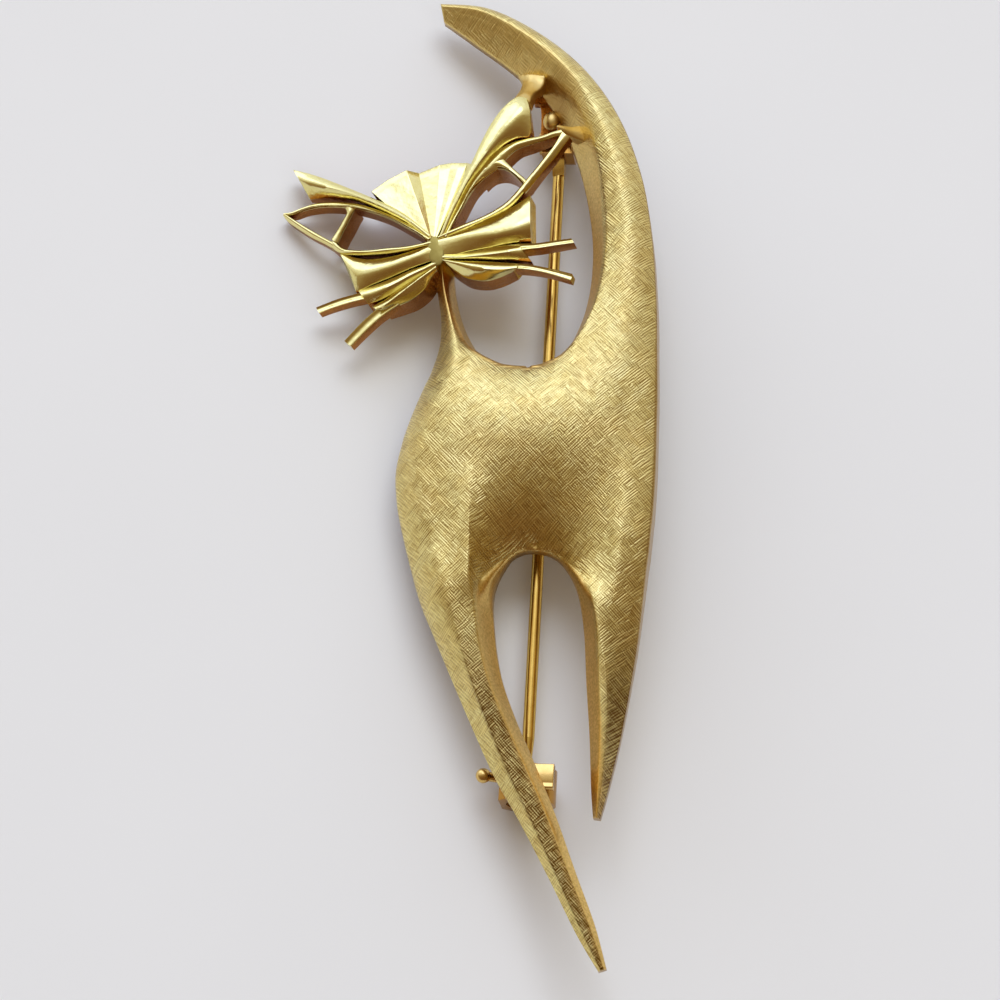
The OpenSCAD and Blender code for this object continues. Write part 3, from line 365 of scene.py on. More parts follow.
PAD = [
    (-1.9, 30.7, 1.0, -0.9, 30.7, 1.1, 0.1, 30.7, 1.2, 0.1),
    (-1.85, 29.75, 0.8, -0.9, 29.65, 0.85, 0.1, 29.6, 0.9, 0.1),
    (-1.35, 29.5, 0.35, -0.6, 29.5, 0.45, 0.2, 29.5, 0.7, 0.1),
    (-1.25, 26.6, 0.3, -0.6, 26.6, 0.4, 0.4, 26.6, 0.6, 0.1),
]
BEAD_AT, BEAD_SIZE = (-0.45, 28.3, 0.7), (0.62, 0.78, 0.55)

# Rough middle of the face where all petals meet, in the face's own frame
HUB_AT, HUB_SIZE, HUB_TURN = (0.12, -0.5, 3.86), (0.6, 1.2, 0.13), -5.0

PETALS = (LEFT_BLADE, LEFT_UPPER_BAR, LEFT_CROSS_BAR, LEFT_LOWER_BAR, LEFT_CHEEK_RIM, LEFT_CHEEK_RIB,
          LEFT_WHISKER_1_BASE, LEFT_WHISKER_2_BASE, RIGHT_BLADE, RIGHT_UPPER_BAR, RIGHT_CROSS_BAR,
          RIGHT_LOWER_BAR, RIGHT_CHEEK, RIGHT_WHISKER_1_BASE, RIGHT_WHISKER_2_BASE, LEFT_WHISKER_1,
          LEFT_WHISKER_2, RIGHT_WHISKER_1, RIGHT_WHISKER_2)


def curve_value(a, b, c, d, t):
    """Smooth value between the second and third of four."""
    return 0.5 * (2 * b + (c - a) * t + (2 * a - 5 * b + 4 * c - d) * t * t
                  + (3 * b - 3 * c + d - a) * t ** 3)


def finer(rows, count, turned=()):
    """Rows with count smooth steps between each two; a turned column breaks where TURN is set."""
    last = len(rows) - 1
    out = []
    for i in range(last):
        before, after = rows[max(0, i - 1)], rows[min(last, i + 2)]
        for k in range(count):
            row = curve_value(before, rows[i], rows[i + 1], after, k / count)
            if turned:
                first = rows[i] if rows[i][TURN] > 0 else before
                final = rows[i + 1] if rows[i + 1][TURN] > 0 else after
                sharp = curve_value(first, rows[i], rows[i + 1], final, k / count)
                row[list(turned)] = sharp[list(turned)]
            out.append(row)
    out.append(np.array(rows[last], float))
    return np.array(out)


def ring_faces(count, size):
    """Faces between closed rings of points that follow each other."""
    faces = []
    for i in range(count - 1):
        for k in range(size):
            q = (k + 1) % size
            faces.append((i * size + k, (i + 1) * size + k, (i + 1) * size + q, i * size + q))
    return faces


def new_object(name, mesh):
    obj = bpy.data.objects.new(name, mesh)
    bpy.context.scene.collection.objects.link(obj)
    return obj


def mesh_object(name, points, faces, place=None):
    """New smooth object from points in the brooch's own frame, or in that of place, laid like the part."""
    mesh = bpy.data.meshes.new(name)
    mesh.from_pydata([tuple(p) for p in points], [], faces)
    mesh.transform(LYING if place is None else LYING @ place)
    bm = bmesh.new()
    bm.from_mesh(mesh)
    bmesh.ops.recalc_face_normals(bm, faces=bm.faces)
    bm.to_mesh(mesh)
    bm.free()
    mesh.polygons.foreach_set("use_smooth", [True] * len(mesh.polygons))
    return new_object(name, mesh)


def shade_by_angle(obj, degrees):
    """Smooth shading with edges over the angle kept sharp."""
    bm = bmesh.new()
    bm.from_mesh(obj.data)
    for edge in bm.edges:
        if len(edge.link_faces) == 2:
            edge.smooth = edge.calc_face_angle(0.0) < math.radians(degrees)
    bm.to_mesh(obj.data)
    bm.free()


# Body: two lofts, back and flank, that meet along a seam down the trunk

# Steps of a section's front up from the outer edge, over the crown and down the inner slope, the powers that
# bend these parts, and the steps between two rows
RISE = np.concatenate([[0.0, 0.02, 0.05, 0.09], np.linspace(0.14, 1.0, 20)])
RUN = np.linspace(0.0, 1.0, 16)[1:]
FALL = np.linspace(0.0, 1.0, 19)[1:]
RISE_POWER, RUN_POWER, FALL_POWER = 0.75, 1.4, 1.2
FINE_STEPS = 12

# Sections straighten into the legs: how straight they are at least, where along the body it starts, and over
# what length, as shares of the body's length
STRAIGHT_LEAST, LEG_START, LEG_FADE = 0.1, -0.20, 0.16

# Share of a section over which the back's hollow starts at a free edge
HOLLOW_EDGE = 0.12

# Outer edge of the back: its share of the walls' painted shade, and how many of a section's points it takes
EDGE_SHARE, EDGE_POINTS = 0.9, 2

# Dark tops of the legs: where down the body they start and are full, their distances from the inner slope,
# and how far before the flank's crown they start
DARK_START, DARK_FULL = 0.19, 0.40
BACK_DARK, FLANK_DARK, FLANK_LEAD = (0.02, 0.30), (-0.02, 0.02), 0.08

# In millimetres: how near two points are one, the width over which the engraving ends, and the shaded corner
# under the bridges, its middle, flattening, and where it starts to fade and is gone
SAME_PLACE, HATCH_FADE = 0.002, 0.25
CORNER_AT, CORNER_FLAT, CORNER_REACH = (-0.2, 28.9), 0.6, (0.5, 2.2)

# Skin of the trunk, in millimetres: step and corners of its grid, counted across from the crease; in cells,
# how far from the grid's end a place stays; and its rounds of smoothing, the load that bulges it, and where
# up the trunk that sets in
SKIN_STEP, SKIN_LOW, SKIN_HIGH = 0.2, (-7.0, -12.6), (14.0, 10.4)
LAST_CELL = 1.001
SKIN_ROUNDS, SKIN_LOAD, LOAD_UPS = 5000, 0.035, (-4.0, 4.0)

# In millimetres: how far from the lofts' points there is no loft, how far from the outer edges the skin is
# tied to them, and what is added to distances so that no near point outweighs the others
NO_LOFT, SKIN_TIE, NEAR_LEAST = 0.35, 2.0, 0.02

# Where the lofts pass into the skin, in millimetres: from the outer edges inwards, up from the legs and down
# from the neck; then the power that rounds the skin's rims
SKIN_OUT, SKIN_DOWN, SKIN_UP = (1.3, 3.0), (-11.5, -8.5), (10.0, 7.6)
RIM_POWER = 2.5


def section(row):
    """Front of one cross section: places across and heights over the back plane."""
    places, heights = [], []
    straight = min(1.0, max(STRAIGHT_LEAST, (LEG_START - row[OY]) / LEG_FADE))
    for t in RISE:
        places.append(row[PEAK] * t)
        rise = math.sin(math.pi / 2 * t) ** RISE_POWER
        heights.append(row[LIP] + (row[CROWN] - row[LIP]) * (rise + straight * (t - rise)))
    for t in RUN:
        places.append(row[PEAK] + (1 - row[BAND] - row[PEAK]) * t)
        heights.append(row[CROWN] + (row[CREST] - row[CROWN]) * t ** RUN_POWER)
    for t in FALL:
        hard = 1 - t ** FALL_POWER
        soft = (1 + math.cos(math.pi * t)) / 2
        fall = (1 - row[SOFT]) * hard + row[SOFT] * soft
        places.append(1 - row[BAND] * (1 - t))
        heights.append(row[FOOT] + (row[CREST] - row[FOOT]) * fall)
    return np.array(places), RELIEF * np.array(heights)


def ramp(value, low, high):
    """Smooth step from 0 at low to 1 at high."""
    t = np.clip((value - low) / (high - low), 0, 1)
    return t * t * (3 - 2 * t)


def leg_top(places, row, whole):
    """Share of dark at each place of a leg's section: its flat top, or all but its inner slope."""
    in_leg = ramp(-row[OY], DARK_START, DARK_FULL)
    from_slope = 1 - places - row[BAND]
    if whole:
        return in_leg * ramp(from_slope, *BACK_DARK)
    return in_leg * ramp(places, row[PEAK] - FLANK_LEAD, row[PEAK]) * ramp(from_slope, *FLANK_DARK)


def body_strip(rows, whole):
    """One loft: points, faces, each point's share of painted wall shade, back and leg's dark top, and both
    edges.
    """
    rings = finer(rows, FINE_STEPS, (IX, IY, FOOT))
    points, wall, back, top, outer_edge, inner_edge = [], [], [], [], [], []
    for row in rings:
        places, heights = section(row)
        outer = np.array([row[OX] * BODY_W, row[OY] * BODY_L])
        inner = np.array([row[IX] * BODY_W, row[IY] * BODY_L])
        flat = outer + places[:, None] * (inner - outer)
        to_edge = np.minimum(places, np.where(row[JOIN] > 0.5, 1.0, 1 - places))
        hollow = np.maximum(0.0, row[HOLLOW] * (heights - WALL)) * np.clip(to_edge / HOLLOW_EDGE, 0, 1)
        points += [(x, y, z) for (x, y), z in zip(flat, heights)]
        points += [(x, y, z) for (x, y), z in zip(flat[::-1], hollow[::-1])]
        across = len(places)
        # Painted shade: full on the back and the walls, and a dark line along the back's outer edge
        wall += [EDGE_SHARE if whole and k < EDGE_POINTS else 0.0 for k in range(across)] + [1.0] * across
        back += [0.0] * across + [1.0] * across
        top += list(leg_top(places, row, whole)) + [0.0] * across
        outer_edge.append(outer)
        if row[JOIN] < 0.5:
            inner_edge.append(inner)
    size, count = 2 * across, len(rings)
    faces = ring_faces(count, size)
    for base in (0, (count - 1) * size):
        for k in range(across - 1):
            faces.append((base + k, base + k + 1, base + size - 2 - k, base + size - 1 - k))
    return points, faces, wall, back, top, outer_edge, inner_edge


def tree_of(edge):
    """Search tree over places, heights left out."""
    tree = kdtree.KDTree(len(edge))
    for i, p in enumerate(edge):
        tree.insert((p[0], p[1], 0.0), i)
    tree.balance()
    return tree


def reach(tree, points):
    """Distance from each point to the nearest point of an edge."""
    return np.array([tree.find((x, y, 0.0))[2] for x, y in points])


def loft_height(tree, loft, x, y):
    """Height of the lofts at a place: the mean of the three nearest points, the nearer the heavier."""
    near = tree.find_n((x, y, 0.0), 3)
    share = [1 / (NEAR_LEAST + away) for _, _, away in near]
    return sum(loft[i][2] * k for (_, i, _), k in zip(near, share)) / sum(share)


def skin(points, front, outer_tree, inner_tree):
    """Heights of the trunk's surface: stretched between its outer slopes, the inner rims and the crease."""
    ups, crease_x, crease_z, hold = CREASE[::-1].T
    rim_ups, rim_tops, rim_widths = RIMS[::-1].T
    across = np.arange(SKIN_LOW[0], SKIN_HIGH[0], SKIN_STEP)
    up = np.arange(SKIN_LOW[1], SKIN_HIGH[1], SKIN_STEP)
    v, u = np.meshgrid(up, across, indexing="ij")
    flat = np.stack([(u + np.interp(v, ups, crease_x)).ravel(), v.ravel()], axis=1)
    loft = points[front]
    loft_tree = tree_of(loft)
    height = np.array([loft_height(loft_tree, loft, x, y) for x, y in flat]).reshape(u.shape)
    from_outer, from_inner, from_loft = (reach(tree, flat).reshape(u.shape)
                                         for tree in (outer_tree, inner_tree, loft_tree))
    rim = (from_loft > NO_LOFT) | (from_inner < np.interp(v, rim_ups, rim_widths))
    fixed = (from_outer < SKIN_TIE) | rim
    fixed[0], fixed[-1], fixed[:, 0], fixed[:, -1] = True, True, True, True
    height = np.where(rim, np.interp(v, rim_ups, rim_tops), height)
    firm = np.where(np.abs(u) < SKIN_STEP / 2, np.interp(v, ups, hold), 0.0)
    crease = np.interp(v, ups, crease_z)
    load = SKIN_LOAD * SKIN_STEP ** 2 * ramp(v, *LOAD_UPS)
    for _ in range(SKIN_ROUNDS):
        mean = sum(np.roll(height, step, axis) for axis in (0, 1) for step in (1, -1)) / 4 + load
        height = np.where(fixed, height, firm * crease + (1 - firm) * mean)
    flat = points[:, :2]
    gu = (flat[:, 0] - np.interp(flat[:, 1], ups, crease_x) - across[0]) / SKIN_STEP
    gv = (flat[:, 1] - up[0]) / SKIN_STEP
    gu, gv = np.clip(gu, 0, len(across) - LAST_CELL), np.clip(gv, 0, len(up) - LAST_CELL)
    iu, iv = gu.astype(int), gv.astype(int)
    tu, tv = gu - iu, gv - iv
    found = ((1 - tv) * ((1 - tu) * height[iv, iu] + tu * height[iv, iu + 1])
             + tv * ((1 - tu) * height[iv + 1, iu] + tu * height[iv + 1, iu + 1]))
    close = np.clip(reach(inner_tree, flat) / np.interp(flat[:, 1], rim_ups, rim_widths), 0, 1)
    found = RIM_FOOT + (found - RIM_FOOT) * np.sqrt(1 - (1 - close) ** RIM_POWER)
    weight = (front * ramp(reach(outer_tree, flat), *SKIN_OUT) * ramp(flat[:, 1], *SKIN_DOWN)
              * ramp(flat[:, 1], *SKIN_UP))
    return points[:, 2] + weight * (found - points[:, 2])


def hatch_share(points, inner_tree):
    """Share of engraving at each point: none in the smooth band along the inner edges, less on the tail."""
    ups, widths = np.array(SMOOTH_WIDTH).T
    width = np.interp(points[:, 1], ups, widths)
    share = np.clip((reach(inner_tree, points[:, :2]) - width) / HATCH_FADE + 0.5, 0, 1)
    return np.maximum(share, TAIL_SHARE * ramp(points[:, 1], *TAIL_UPS))


def joined(points, faces):
    """Points of one place made one, faces that fold onto each other left out, and the kept numbers."""
    tree = kdtree.KDTree(len(points))
    for i, p in enumerate(points):
        tree.insert(p, i)
    tree.balance()
    new_number, kept = {}, []
    for i, p in enumerate(points):
        if i not in new_number:
            for _, j, _ in tree.find_range(p, SAME_PLACE):
                new_number.setdefault(j, len(kept))
            kept.append(i)
    out, seen = [], {}
    for face in faces:
        new = list(dict.fromkeys(new_number[k] for k in face))
        if len(new) > 2:
            out.append(tuple(new))
            key = frozenset(new)
            seen[key] = seen.get(key, 0) + 1
    return [points[i] for i in kept], [face for face in out if seen[frozenset(face)] == 1], kept


def make_body():
    """Both lofts as one mesh, with the trunk's skin, and the shares that its material reads."""
    points, faces, *shares = body_strip(BACK_ROWS, True)
    more_points, more_faces, *more_shares = body_strip(FLANK_ROWS, False)
    faces += [tuple(k + len(points) for k in face) for face in more_faces]
    wall, back, top, outer_edge, inner_edge = [a + b for a, b in zip(shares, more_shares)]
    points, faces, kept = joined(points + more_points, faces)
    points, wall, top = np.array(points), np.array(wall)[kept], np.array(top)[kept]
    front = np.array(back)[kept] < 0.5
    # Painted shade in the corner under the bridges, laid into the walls' share
    from_corner = np.hypot(points[:, 0] - CORNER_AT[0], (points[:, 1] - CORNER_AT[1]) * CORNER_FLAT)
    wall = np.maximum(wall, EDGE_SHARE * (1 - ramp(from_corner, *CORNER_REACH)))
    inner_tree = tree_of(inner_edge)
    hatch = front * hatch_share(points, inner_tree)
    points[:, 2] = skin(points, front, tree_of(outer_edge), inner_tree)
    obj = mesh_object("cat_body", points, faces)
    for name, values in (("hatch", hatch), ("wall", wall), ("leg_top", top)):
        layer = obj.data.attributes.new(name, "FLOAT", "POINT")
        layer.data.foreach_set("value", np.array(values, np.float32))
    return obj


# Face: petals and bars, each a loft over an upper edge, a ridge and a lower edge, round a hub

# Bevel of the edges in millimetres and its largest share of a side; how far in and down its middle lies and
# how deep its foot, as shares of it; and the share of each side that rounds the ridge
BEVEL, BEVEL_MOST = 0.07, 0.3
MIDDLE_IN, MIDDLE_DOWN, FOOT_DOWN = 0.3, 0.35, 1.2
RIDGE_SOFT = 0.3

# Steps between two rows of a petal and from the hub outwards, places of the forehead's spokes between two
# folds, and heights of the hub's top and of the undersides
PETAL_STEPS, SPOKE_STEPS = 5, 10
PLEAT_TIMES = (0.0, 0.06, 0.5, 0.94)
HUB_TOP, HUB_UNDER, BROW_UNDER = 3.8, 0.65, 0.9

# Numbers of a piece's materials, the angles in degrees from which edges are sharp, and in metres how near two
# points are one and how short an edge is none
# Sides take the gold darkened with painted shade
FRONT, SIDE, KNOB = 0, 1, 2
FACE_SHARP, SOFT_ALL, PAD_SHARP = 55, 180, 50
ONE_POINT, NO_EDGE = 2e-6, 1e-6

# Grain of the bridges' lump, in millimetres, and its rounds of smoothing
BRIDGE_VOXEL, BRIDGE_ROUNDS = 0.09, 12


def petal_section(row):
    """One section of a petal: bevelled edges, two faces and a rounded ridge, walls to the underside."""
    upper, ridge, lower, under = row[0:3], row[3:6], row[6:9], row[9]
    down = np.array([0.0, 0.0, 1.0])
    to_ridge, to_lower = ridge - upper, lower - ridge
    a = max(np.linalg.norm(to_ridge[:2]), 1e-6)
    b = max(np.linalg.norm(to_lower[:2]), 1e-6)
    cut_a, cut_b = min(BEVEL, BEVEL_MOST * a), min(BEVEL, BEVEL_MOST * b)
    before, after = ridge - to_ridge * RIDGE_SOFT, ridge + to_lower * RIDGE_SOFT
    top = [upper - down * cut_a * FOOT_DOWN,
           upper + to_ridge * MIDDLE_IN * cut_a / a - down * cut_a * MIDDLE_DOWN,
           upper + to_ridge * cut_a / a,
           upper + to_ridge * 0.5,
           before,
           (2 * ridge + before + after) / 4,
           after,
           ridge + to_lower * 0.5,
           lower - to_lower * cut_b / b,
           lower - to_lower * MIDDLE_IN * cut_b / b - down * cut_b * MIDDLE_DOWN,
           lower - down * cut_b * FOOT_DOWN]
    low_l, low_u = lower.copy(), upper.copy()
    low_l[2] = low_u[2] = under
    return top + [low_l, low_u]


def petal(rows):
    """Points, faces and material numbers of one petal."""
    rings = [petal_section(row) for row in finer(np.array(rows, float), PETAL_STEPS)]
    size, count = len(rings[0]), len(rings)
    faces = ring_faces(count, size)
    slots = [SIDE if k > size - 4 else FRONT for k in range(size)] * (count - 1)
    last = (count - 1) * size
    faces += [tuple(range(size)), tuple(range(last, last + size))[::-1]]
    return [p for ring in rings for p in ring], faces, slots + [FRONT, FRONT]


def brow():
    """Forehead: pleats that fan out from the hub, with a wall round the outside."""
    folds = np.array(BROW, float)
    edge = [a + (b - a) * t for a, b in zip(folds[:-1], folds[1:]) for t in PLEAT_TIMES] + [folds[-1]]
    hub = np.array([0.0, 0.0, HUB_TOP])
    points = []
    for p in edge:
        points += [hub + (p - hub) * (i / SPOKE_STEPS) for i in range(SPOKE_STEPS)]
        points += [p - (p - hub) / np.linalg.norm(p[:2] - hub[:2]) * BEVEL,
                   p - np.array([0, 0, BEVEL]),
                   np.array([p[0], p[1], BROW_UNDER]),
                   np.array([hub[0], hub[1], HUB_UNDER])]
    size = SPOKE_STEPS + 4
    slots = [SIDE if k > SPOKE_STEPS else FRONT for k in range(size)] * (len(edge) - 1)
    return points, ring_faces(len(edge), size), slots


def knob(centre, radii, turn=0.0, around=32, along=20):
    """Rounded lump: an ellipsoid turned in the plane of the face."""
    c, s = math.cos(math.radians(turn)), math.sin(math.radians(turn))
    points = []
    for j in range(along + 1):
        polar = math.pi * j / along
        for i in range(around):
            angle = 2 * math.pi * i / around
            x = radii[0] * math.sin(polar) * math.cos(angle)
            y = radii[1] * math.sin(polar) * math.sin(angle)
            z = radii[2] * math.cos(polar)
            points.append((centre[0] + c * x - s * y, centre[1] + s * x + c * y, centre[2] + z))
    faces = ring_faces(along + 1, around)
    return points, faces, [KNOB] * len(faces)


def lump(name, parts, place, degrees, materials):
    """One object from several closed shapes, with materials for their fronts, walls and knobs."""
    points, faces, slots = [], [], []
    for more_points, more_faces, more_slots in parts:
        faces += [tuple(k + len(points) for k in face) for face in more_faces]
        points += more_points
        slots += more_slots
    obj = mesh_object(name, points, faces, place)
    for material in materials:
        obj.data.materials.append(material)
    obj.data.polygons.foreach_set("material_index", np.array(slots, np.int32))
    bm = bmesh.new()
    bm.from_mesh(obj.data)
    bmesh.ops.remove_doubles(bm, verts=bm.verts, dist=ONE_POINT)
    bmesh.ops.dissolve_degenerate(bm, edges=bm.edges, dist=NO_EDGE)
    bm.to_mesh(obj.data)
    bm.free()
    shade_by_angle(obj, degrees)
    weighted = obj.modifiers.new("weighted", "WEIGHTED_NORMAL")
    weighted.keep_sharp = True
    return obj


def make_face(materials):
    parts = [brow()] + [petal(rows) for rows in PETALS] + [knob(HUB_AT, HUB_SIZE, HUB_TURN)]
    return lump("cat_face", parts, FACE_PLACE, FACE_SHARP, materials)


def make_bridges(material):
    """Bridges of metal that join the right ear to the tail, run together as one soft lump."""
    obj = lump("ear_bridges", [petal(EAR_BRIDGE), petal(BAR_BRIDGE)], None, SOFT_ALL, (material,))
    remesh = obj.modifiers.new("remesh", "REMESH")
    remesh.mode = "VOXEL"
    remesh.voxel_size = BRIDGE_VOXEL * MM
    remesh.use_smooth_shade = True
    soft = obj.modifiers.new("soft", "SMOOTH")
    soft.factor = 0.5
    soft.iterations = BRIDGE_ROUNDS
    return obj


def make_pad(materials):
    """Pad behind the bridges, dark with painted shade, and the bead of solder on it."""
    return lump("solder_pad", [petal(PAD), knob(BEAD_AT, BEAD_SIZE)], None, PAD_SHARP, materials)


# Materials

# Engraving, in millimetres, and how often a patch or a streak repeats per millimetre
LINE_PITCH, LINE_DEPTH = 0.165, 0.028
PATCH_ACROSS, PATCH_ALONG = 1.4, 0.75
STREAK_ACROSS, STREAK_ALONG = 6.5, 0.9

# How much shows of the grooves' and the walls' painted shade and of the warm colour
GROOVE_SHADE_SHARE, WALL_SHADE_SHARE, WARM_SHARE = 0.75, 0.85, 0.25

# Colours of the engraved body: engraving in shade and light, warm clouds, the smooth bands' grain, painted
# shade in the grooves and on the walls, and the legs' dark tops
HATCH_SHADE, HATCH_LIGHT = (0.81, 0.63, 0.20, 1.0), (0.97, 0.87, 0.38, 1.0)
WARM_CLOUD = (0.86, 0.52, 0.16, 1.0)
GRAIN_SHADE, GRAIN_LIGHT = (0.60, 0.39, 0.09, 1.0), (0.94, 0.67, 0.24, 1.0)
GROOVE_SHADE, WALL_SHADE_TONE, DARK_TOP = (0.34, 0.20, 0.04, 1.0), (0.36, 0.20, 0.05, 1.0), (0.15, 0.07, 0.01, 1.0)


class Nodes:
    """Short hand for building a node tree."""

    def __init__(self, tree):
        self.tree = tree

    def add(self, kind, inputs=None, **settings):
        node = self.tree.nodes.new(kind)
        for key, value in settings.items():
            setattr(node, key, value)
        for key, value in (inputs or {}).items():
            if isinstance(value, bpy.types.NodeSocket):
                self.tree.links.new(value, node.inputs[key])
            else:
                node.inputs[key].default_value = value
        return node

    def math(self, operation, *values, clamp=False):
        inputs = dict(enumerate(values))
        return self.add("ShaderNodeMath", inputs, operation=operation, use_clamp=clamp).outputs[0]

    def mix(self, factor, a, b):
        """Colour between a and b."""
        return self.add("ShaderNodeMix", {0: factor, 6: a, 7: b}, data_type="RGBA").outputs[2]

    def noise(self, vector, scale, detail=2.0, rough=0.5, kind="3D"):
        return self.add("ShaderNodeTexNoise", {"Vector": vector, "Scale": scale, "Detail": detail,
                                               "Roughness": rough}, noise_dimensions=kind).outputs["Fac"]

    def bump(self, height, strength, distance):
        return self.add("ShaderNodeBump", {"Height": height, "Strength": strength,
                                           "Distance": distance}).outputs[0]

    def mapping(self, vector, **inputs):
        return self.add("ShaderNodeMapping", {"Vector": vector, **inputs}).outputs[0]

    def share(self, name):
        """Share that the mesh gives at each point."""
        return self.add("ShaderNodeAttribute", attribute_name=name).outputs["Fac"]


def new_material(name):
    material = bpy.data.materials.new(name)
    material.use_nodes = True
    tree = material.node_tree
    tree.nodes.clear()
    n = Nodes(tree)
    out = n.add("ShaderNodeOutputMaterial")
    shader = n.add("ShaderNodeBsdfPrincipled")
    tree.links.new(shader.outputs[0], out.inputs[0])
    return material, n, shader


def as_metal(n, shader, colour, rough, normal):
    """Metal with this colour, roughness and relief."""
    for socket, value in (("Base Color", colour), ("Roughness", rough), ("Normal", normal)):
        n.tree.links.new(value, shader.inputs[socket])
    shader.inputs["Metallic"].default_value = 1.0


def own_coordinates(n):
    """Object coordinates in millimetres, turned so that x and y lie in the casting's back plane."""
    place = n.add("ShaderNodeTexCoord").outputs["Object"]
    return n.mapping(place, Rotation=(0.0, math.radians(LIE_DEG), 0.0), Scale=(1000.0, 1000.0, 1000.0))


def hatched_gold():
    """Satin gold engraved with fine crossing lines in small patches, smooth along the inner sides."""
    material, n, shader = new_material("hatched_gold")
    place = own_coordinates(n)
    turned = n.mapping(place, Rotation=(0.0, 0.0, math.radians(45)))
    across = n.add("ShaderNodeSeparateXYZ", {0: turned}).outputs
    lines, patches = [], []
    for axis in (0, 1):
        scale = [0.0, 0.0, 0.0]
        scale[axis], scale[1 - axis] = PATCH_ACROSS, PATCH_ALONG
        inputs = {"Vector": n.mapping(turned, Scale=scale), "Scale": 1.0, "Randomness": 0.9}
        cells = n.add("ShaderNodeTexVoronoi", inputs, voronoi_dimensions="2D", distance="CHEBYCHEV")
        patch = n.add("ShaderNodeSeparateColor", {0: cells.outputs["Color"]}).outputs
        scale[axis], scale[1 - axis] = STREAK_ACROSS, STREAK_ALONG
        streak = n.noise(n.mapping(turned, Scale=scale), 1.0, 1.0, 0.5, "2D")
        phase = n.math("MULTIPLY_ADD", patch[1], 2 * math.pi,
                       n.math("MULTIPLY", across[axis], 2 * math.pi / LINE_PITCH))
        wave = n.math("MULTIPLY_ADD", n.math("SINE", phase), 0.3, 0.5)
        lines.append(n.math("ADD", wave, n.math("MULTIPLY_ADD", streak, 1.6, -0.8)))
        patches.append(patch)
    pick = n.math("GREATER_THAN", patches[0][0], patches[1][0])
    main = n.add("ShaderNodeMix", {0: pick, 2: lines[1], 3: lines[0]}).outputs[0]
    other = n.add("ShaderNodeMix", {0: pick, 2: lines[0], 3: lines[1]}).outputs[0]
    hatch = n.math("MULTIPLY_ADD", other, 0.3, n.math("MULTIPLY", main, 0.8), clamp=True)
    mask = n.share("hatch")
    satin = n.noise(place, 5.0, 4.0, 0.65)
    height = n.math("MULTIPLY_ADD", satin, 0.3, n.math("MULTIPLY", hatch, mask))
    tone = n.math("MULTIPLY_ADD", patches[0][2], 0.5, n.math("MULTIPLY", patches[1][2], 0.5))
    cloud = n.noise(place, 0.8, 2.0)
    shade = n.math("MULTIPLY_ADD", tone, 0.5, n.math("MULTIPLY", cloud, 0.6), clamp=True)
    colour = n.mix(shade, HATCH_SHADE, HATCH_LIGHT)
    warm = n.math("MULTIPLY_ADD", n.noise(place, 0.33, 2.0), 2.4, -1.05, clamp=True)
    colour = n.mix(n.math("MULTIPLY", warm, WARM_SHARE), colour, WARM_CLOUD)
    grain = n.math("MULTIPLY_ADD", satin, 2.6, -0.8, clamp=True)
    colour = n.mix(mask, n.mix(grain, GRAIN_SHADE, GRAIN_LIGHT), colour)
    # Painted shade in the engraving's grooves: darker where the lines are low
    groove_share = n.math("MULTIPLY", mask, GROOVE_SHADE_SHARE)
    groove = n.math("MULTIPLY", n.math("SUBTRACT", 1.0, hatch), groove_share, clamp=True)
    colour = n.mix(groove, colour, GROOVE_SHADE)
    # Painted shade on the walls, along the outer edge and in the corner under the bridges
    colour = n.mix(n.math("MULTIPLY", n.share("wall"), WALL_SHADE_SHARE), colour, WALL_SHADE_TONE)
    # Darker tops of the legs, most where the engraving is low
    top_darkening = n.math("MULTIPLY_ADD", hatch, -0.8, 1.15, clamp=True)
    top_darkening = n.math("MULTIPLY", n.share("leg_top"), top_darkening, clamp=True)
    colour = n.mix(top_darkening, colour, DARK_TOP)
    rough = n.math("MULTIPLY_ADD", satin, 0.14, 0.25)
    as_metal(n, shader, colour, rough, n.bump(height, 1.0, LINE_DEPTH * MM))
    return material


def polished_gold(name, deep, light, gloss):
    """Polished casting with faint waviness."""
    material, n, shader = new_material(name)
    place = own_coordinates(n)
    slow = n.noise(place, 1.1, 2.0)
    fine = n.noise(place, 9.0, 3.0, 0.6)
    normal = n.bump(n.math("MULTIPLY_ADD", fine, 0.10, slow), 0.35, 0.12 * MM)
    as_metal(n, shader, n.mix(slow, deep, light), n.math("MULTIPLY_ADD", fine, 0.12, gloss), normal)
    return material


def finding_gold(name, deep, light, gloss):
    """Gilt wire and findings: faint drawing marks and a deeper colour."""
    material, n, shader = new_material(name)
    place = own_coordinates(n)
    drawn = n.noise(n.mapping(place, Scale=(9.0, 0.35, 9.0)), 1.0, 3.0)
    cloud = n.noise(place, 1.4, 2.0)
    rough = n.math("MULTIPLY_ADD", drawn, 0.12, gloss)
    as_metal(n, shader, n.mix(cloud, deep, light), rough, n.bump(drawn, 0.2, 0.03 * MM))
    return material


def floor_material():
    material, n, shader = new_material("pale_floor")
    cloud = n.noise(n.add("ShaderNodeTexCoord").outputs["Object"], 30.0, 3.0)
    colour = n.mix(cloud, (0.785, 0.80, 0.77, 1.0), (0.825, 0.84, 0.81, 1.0))
    n.tree.links.new(colour, shader.inputs["Base Color"])
    shader.inputs["Roughness"].default_value = 0.55
    shader.inputs["Specular IOR Level"].default_value = 0.25
    return material


def set_material(obj, material):
    obj.data.materials.clear()
    obj.data.materials.append(material)


# Findings on the back, cut from plain solids, in millimetres

# Hinge's plate: its left and lower sides, and how far it is sunk into the casting; then the overlap of solids
HINGE_LEFT, HINGE_END, SUNK, OVERLAP = -BASE_LEFT + 0.25, HINGE_Y - 0.9, 0.15, 0.1

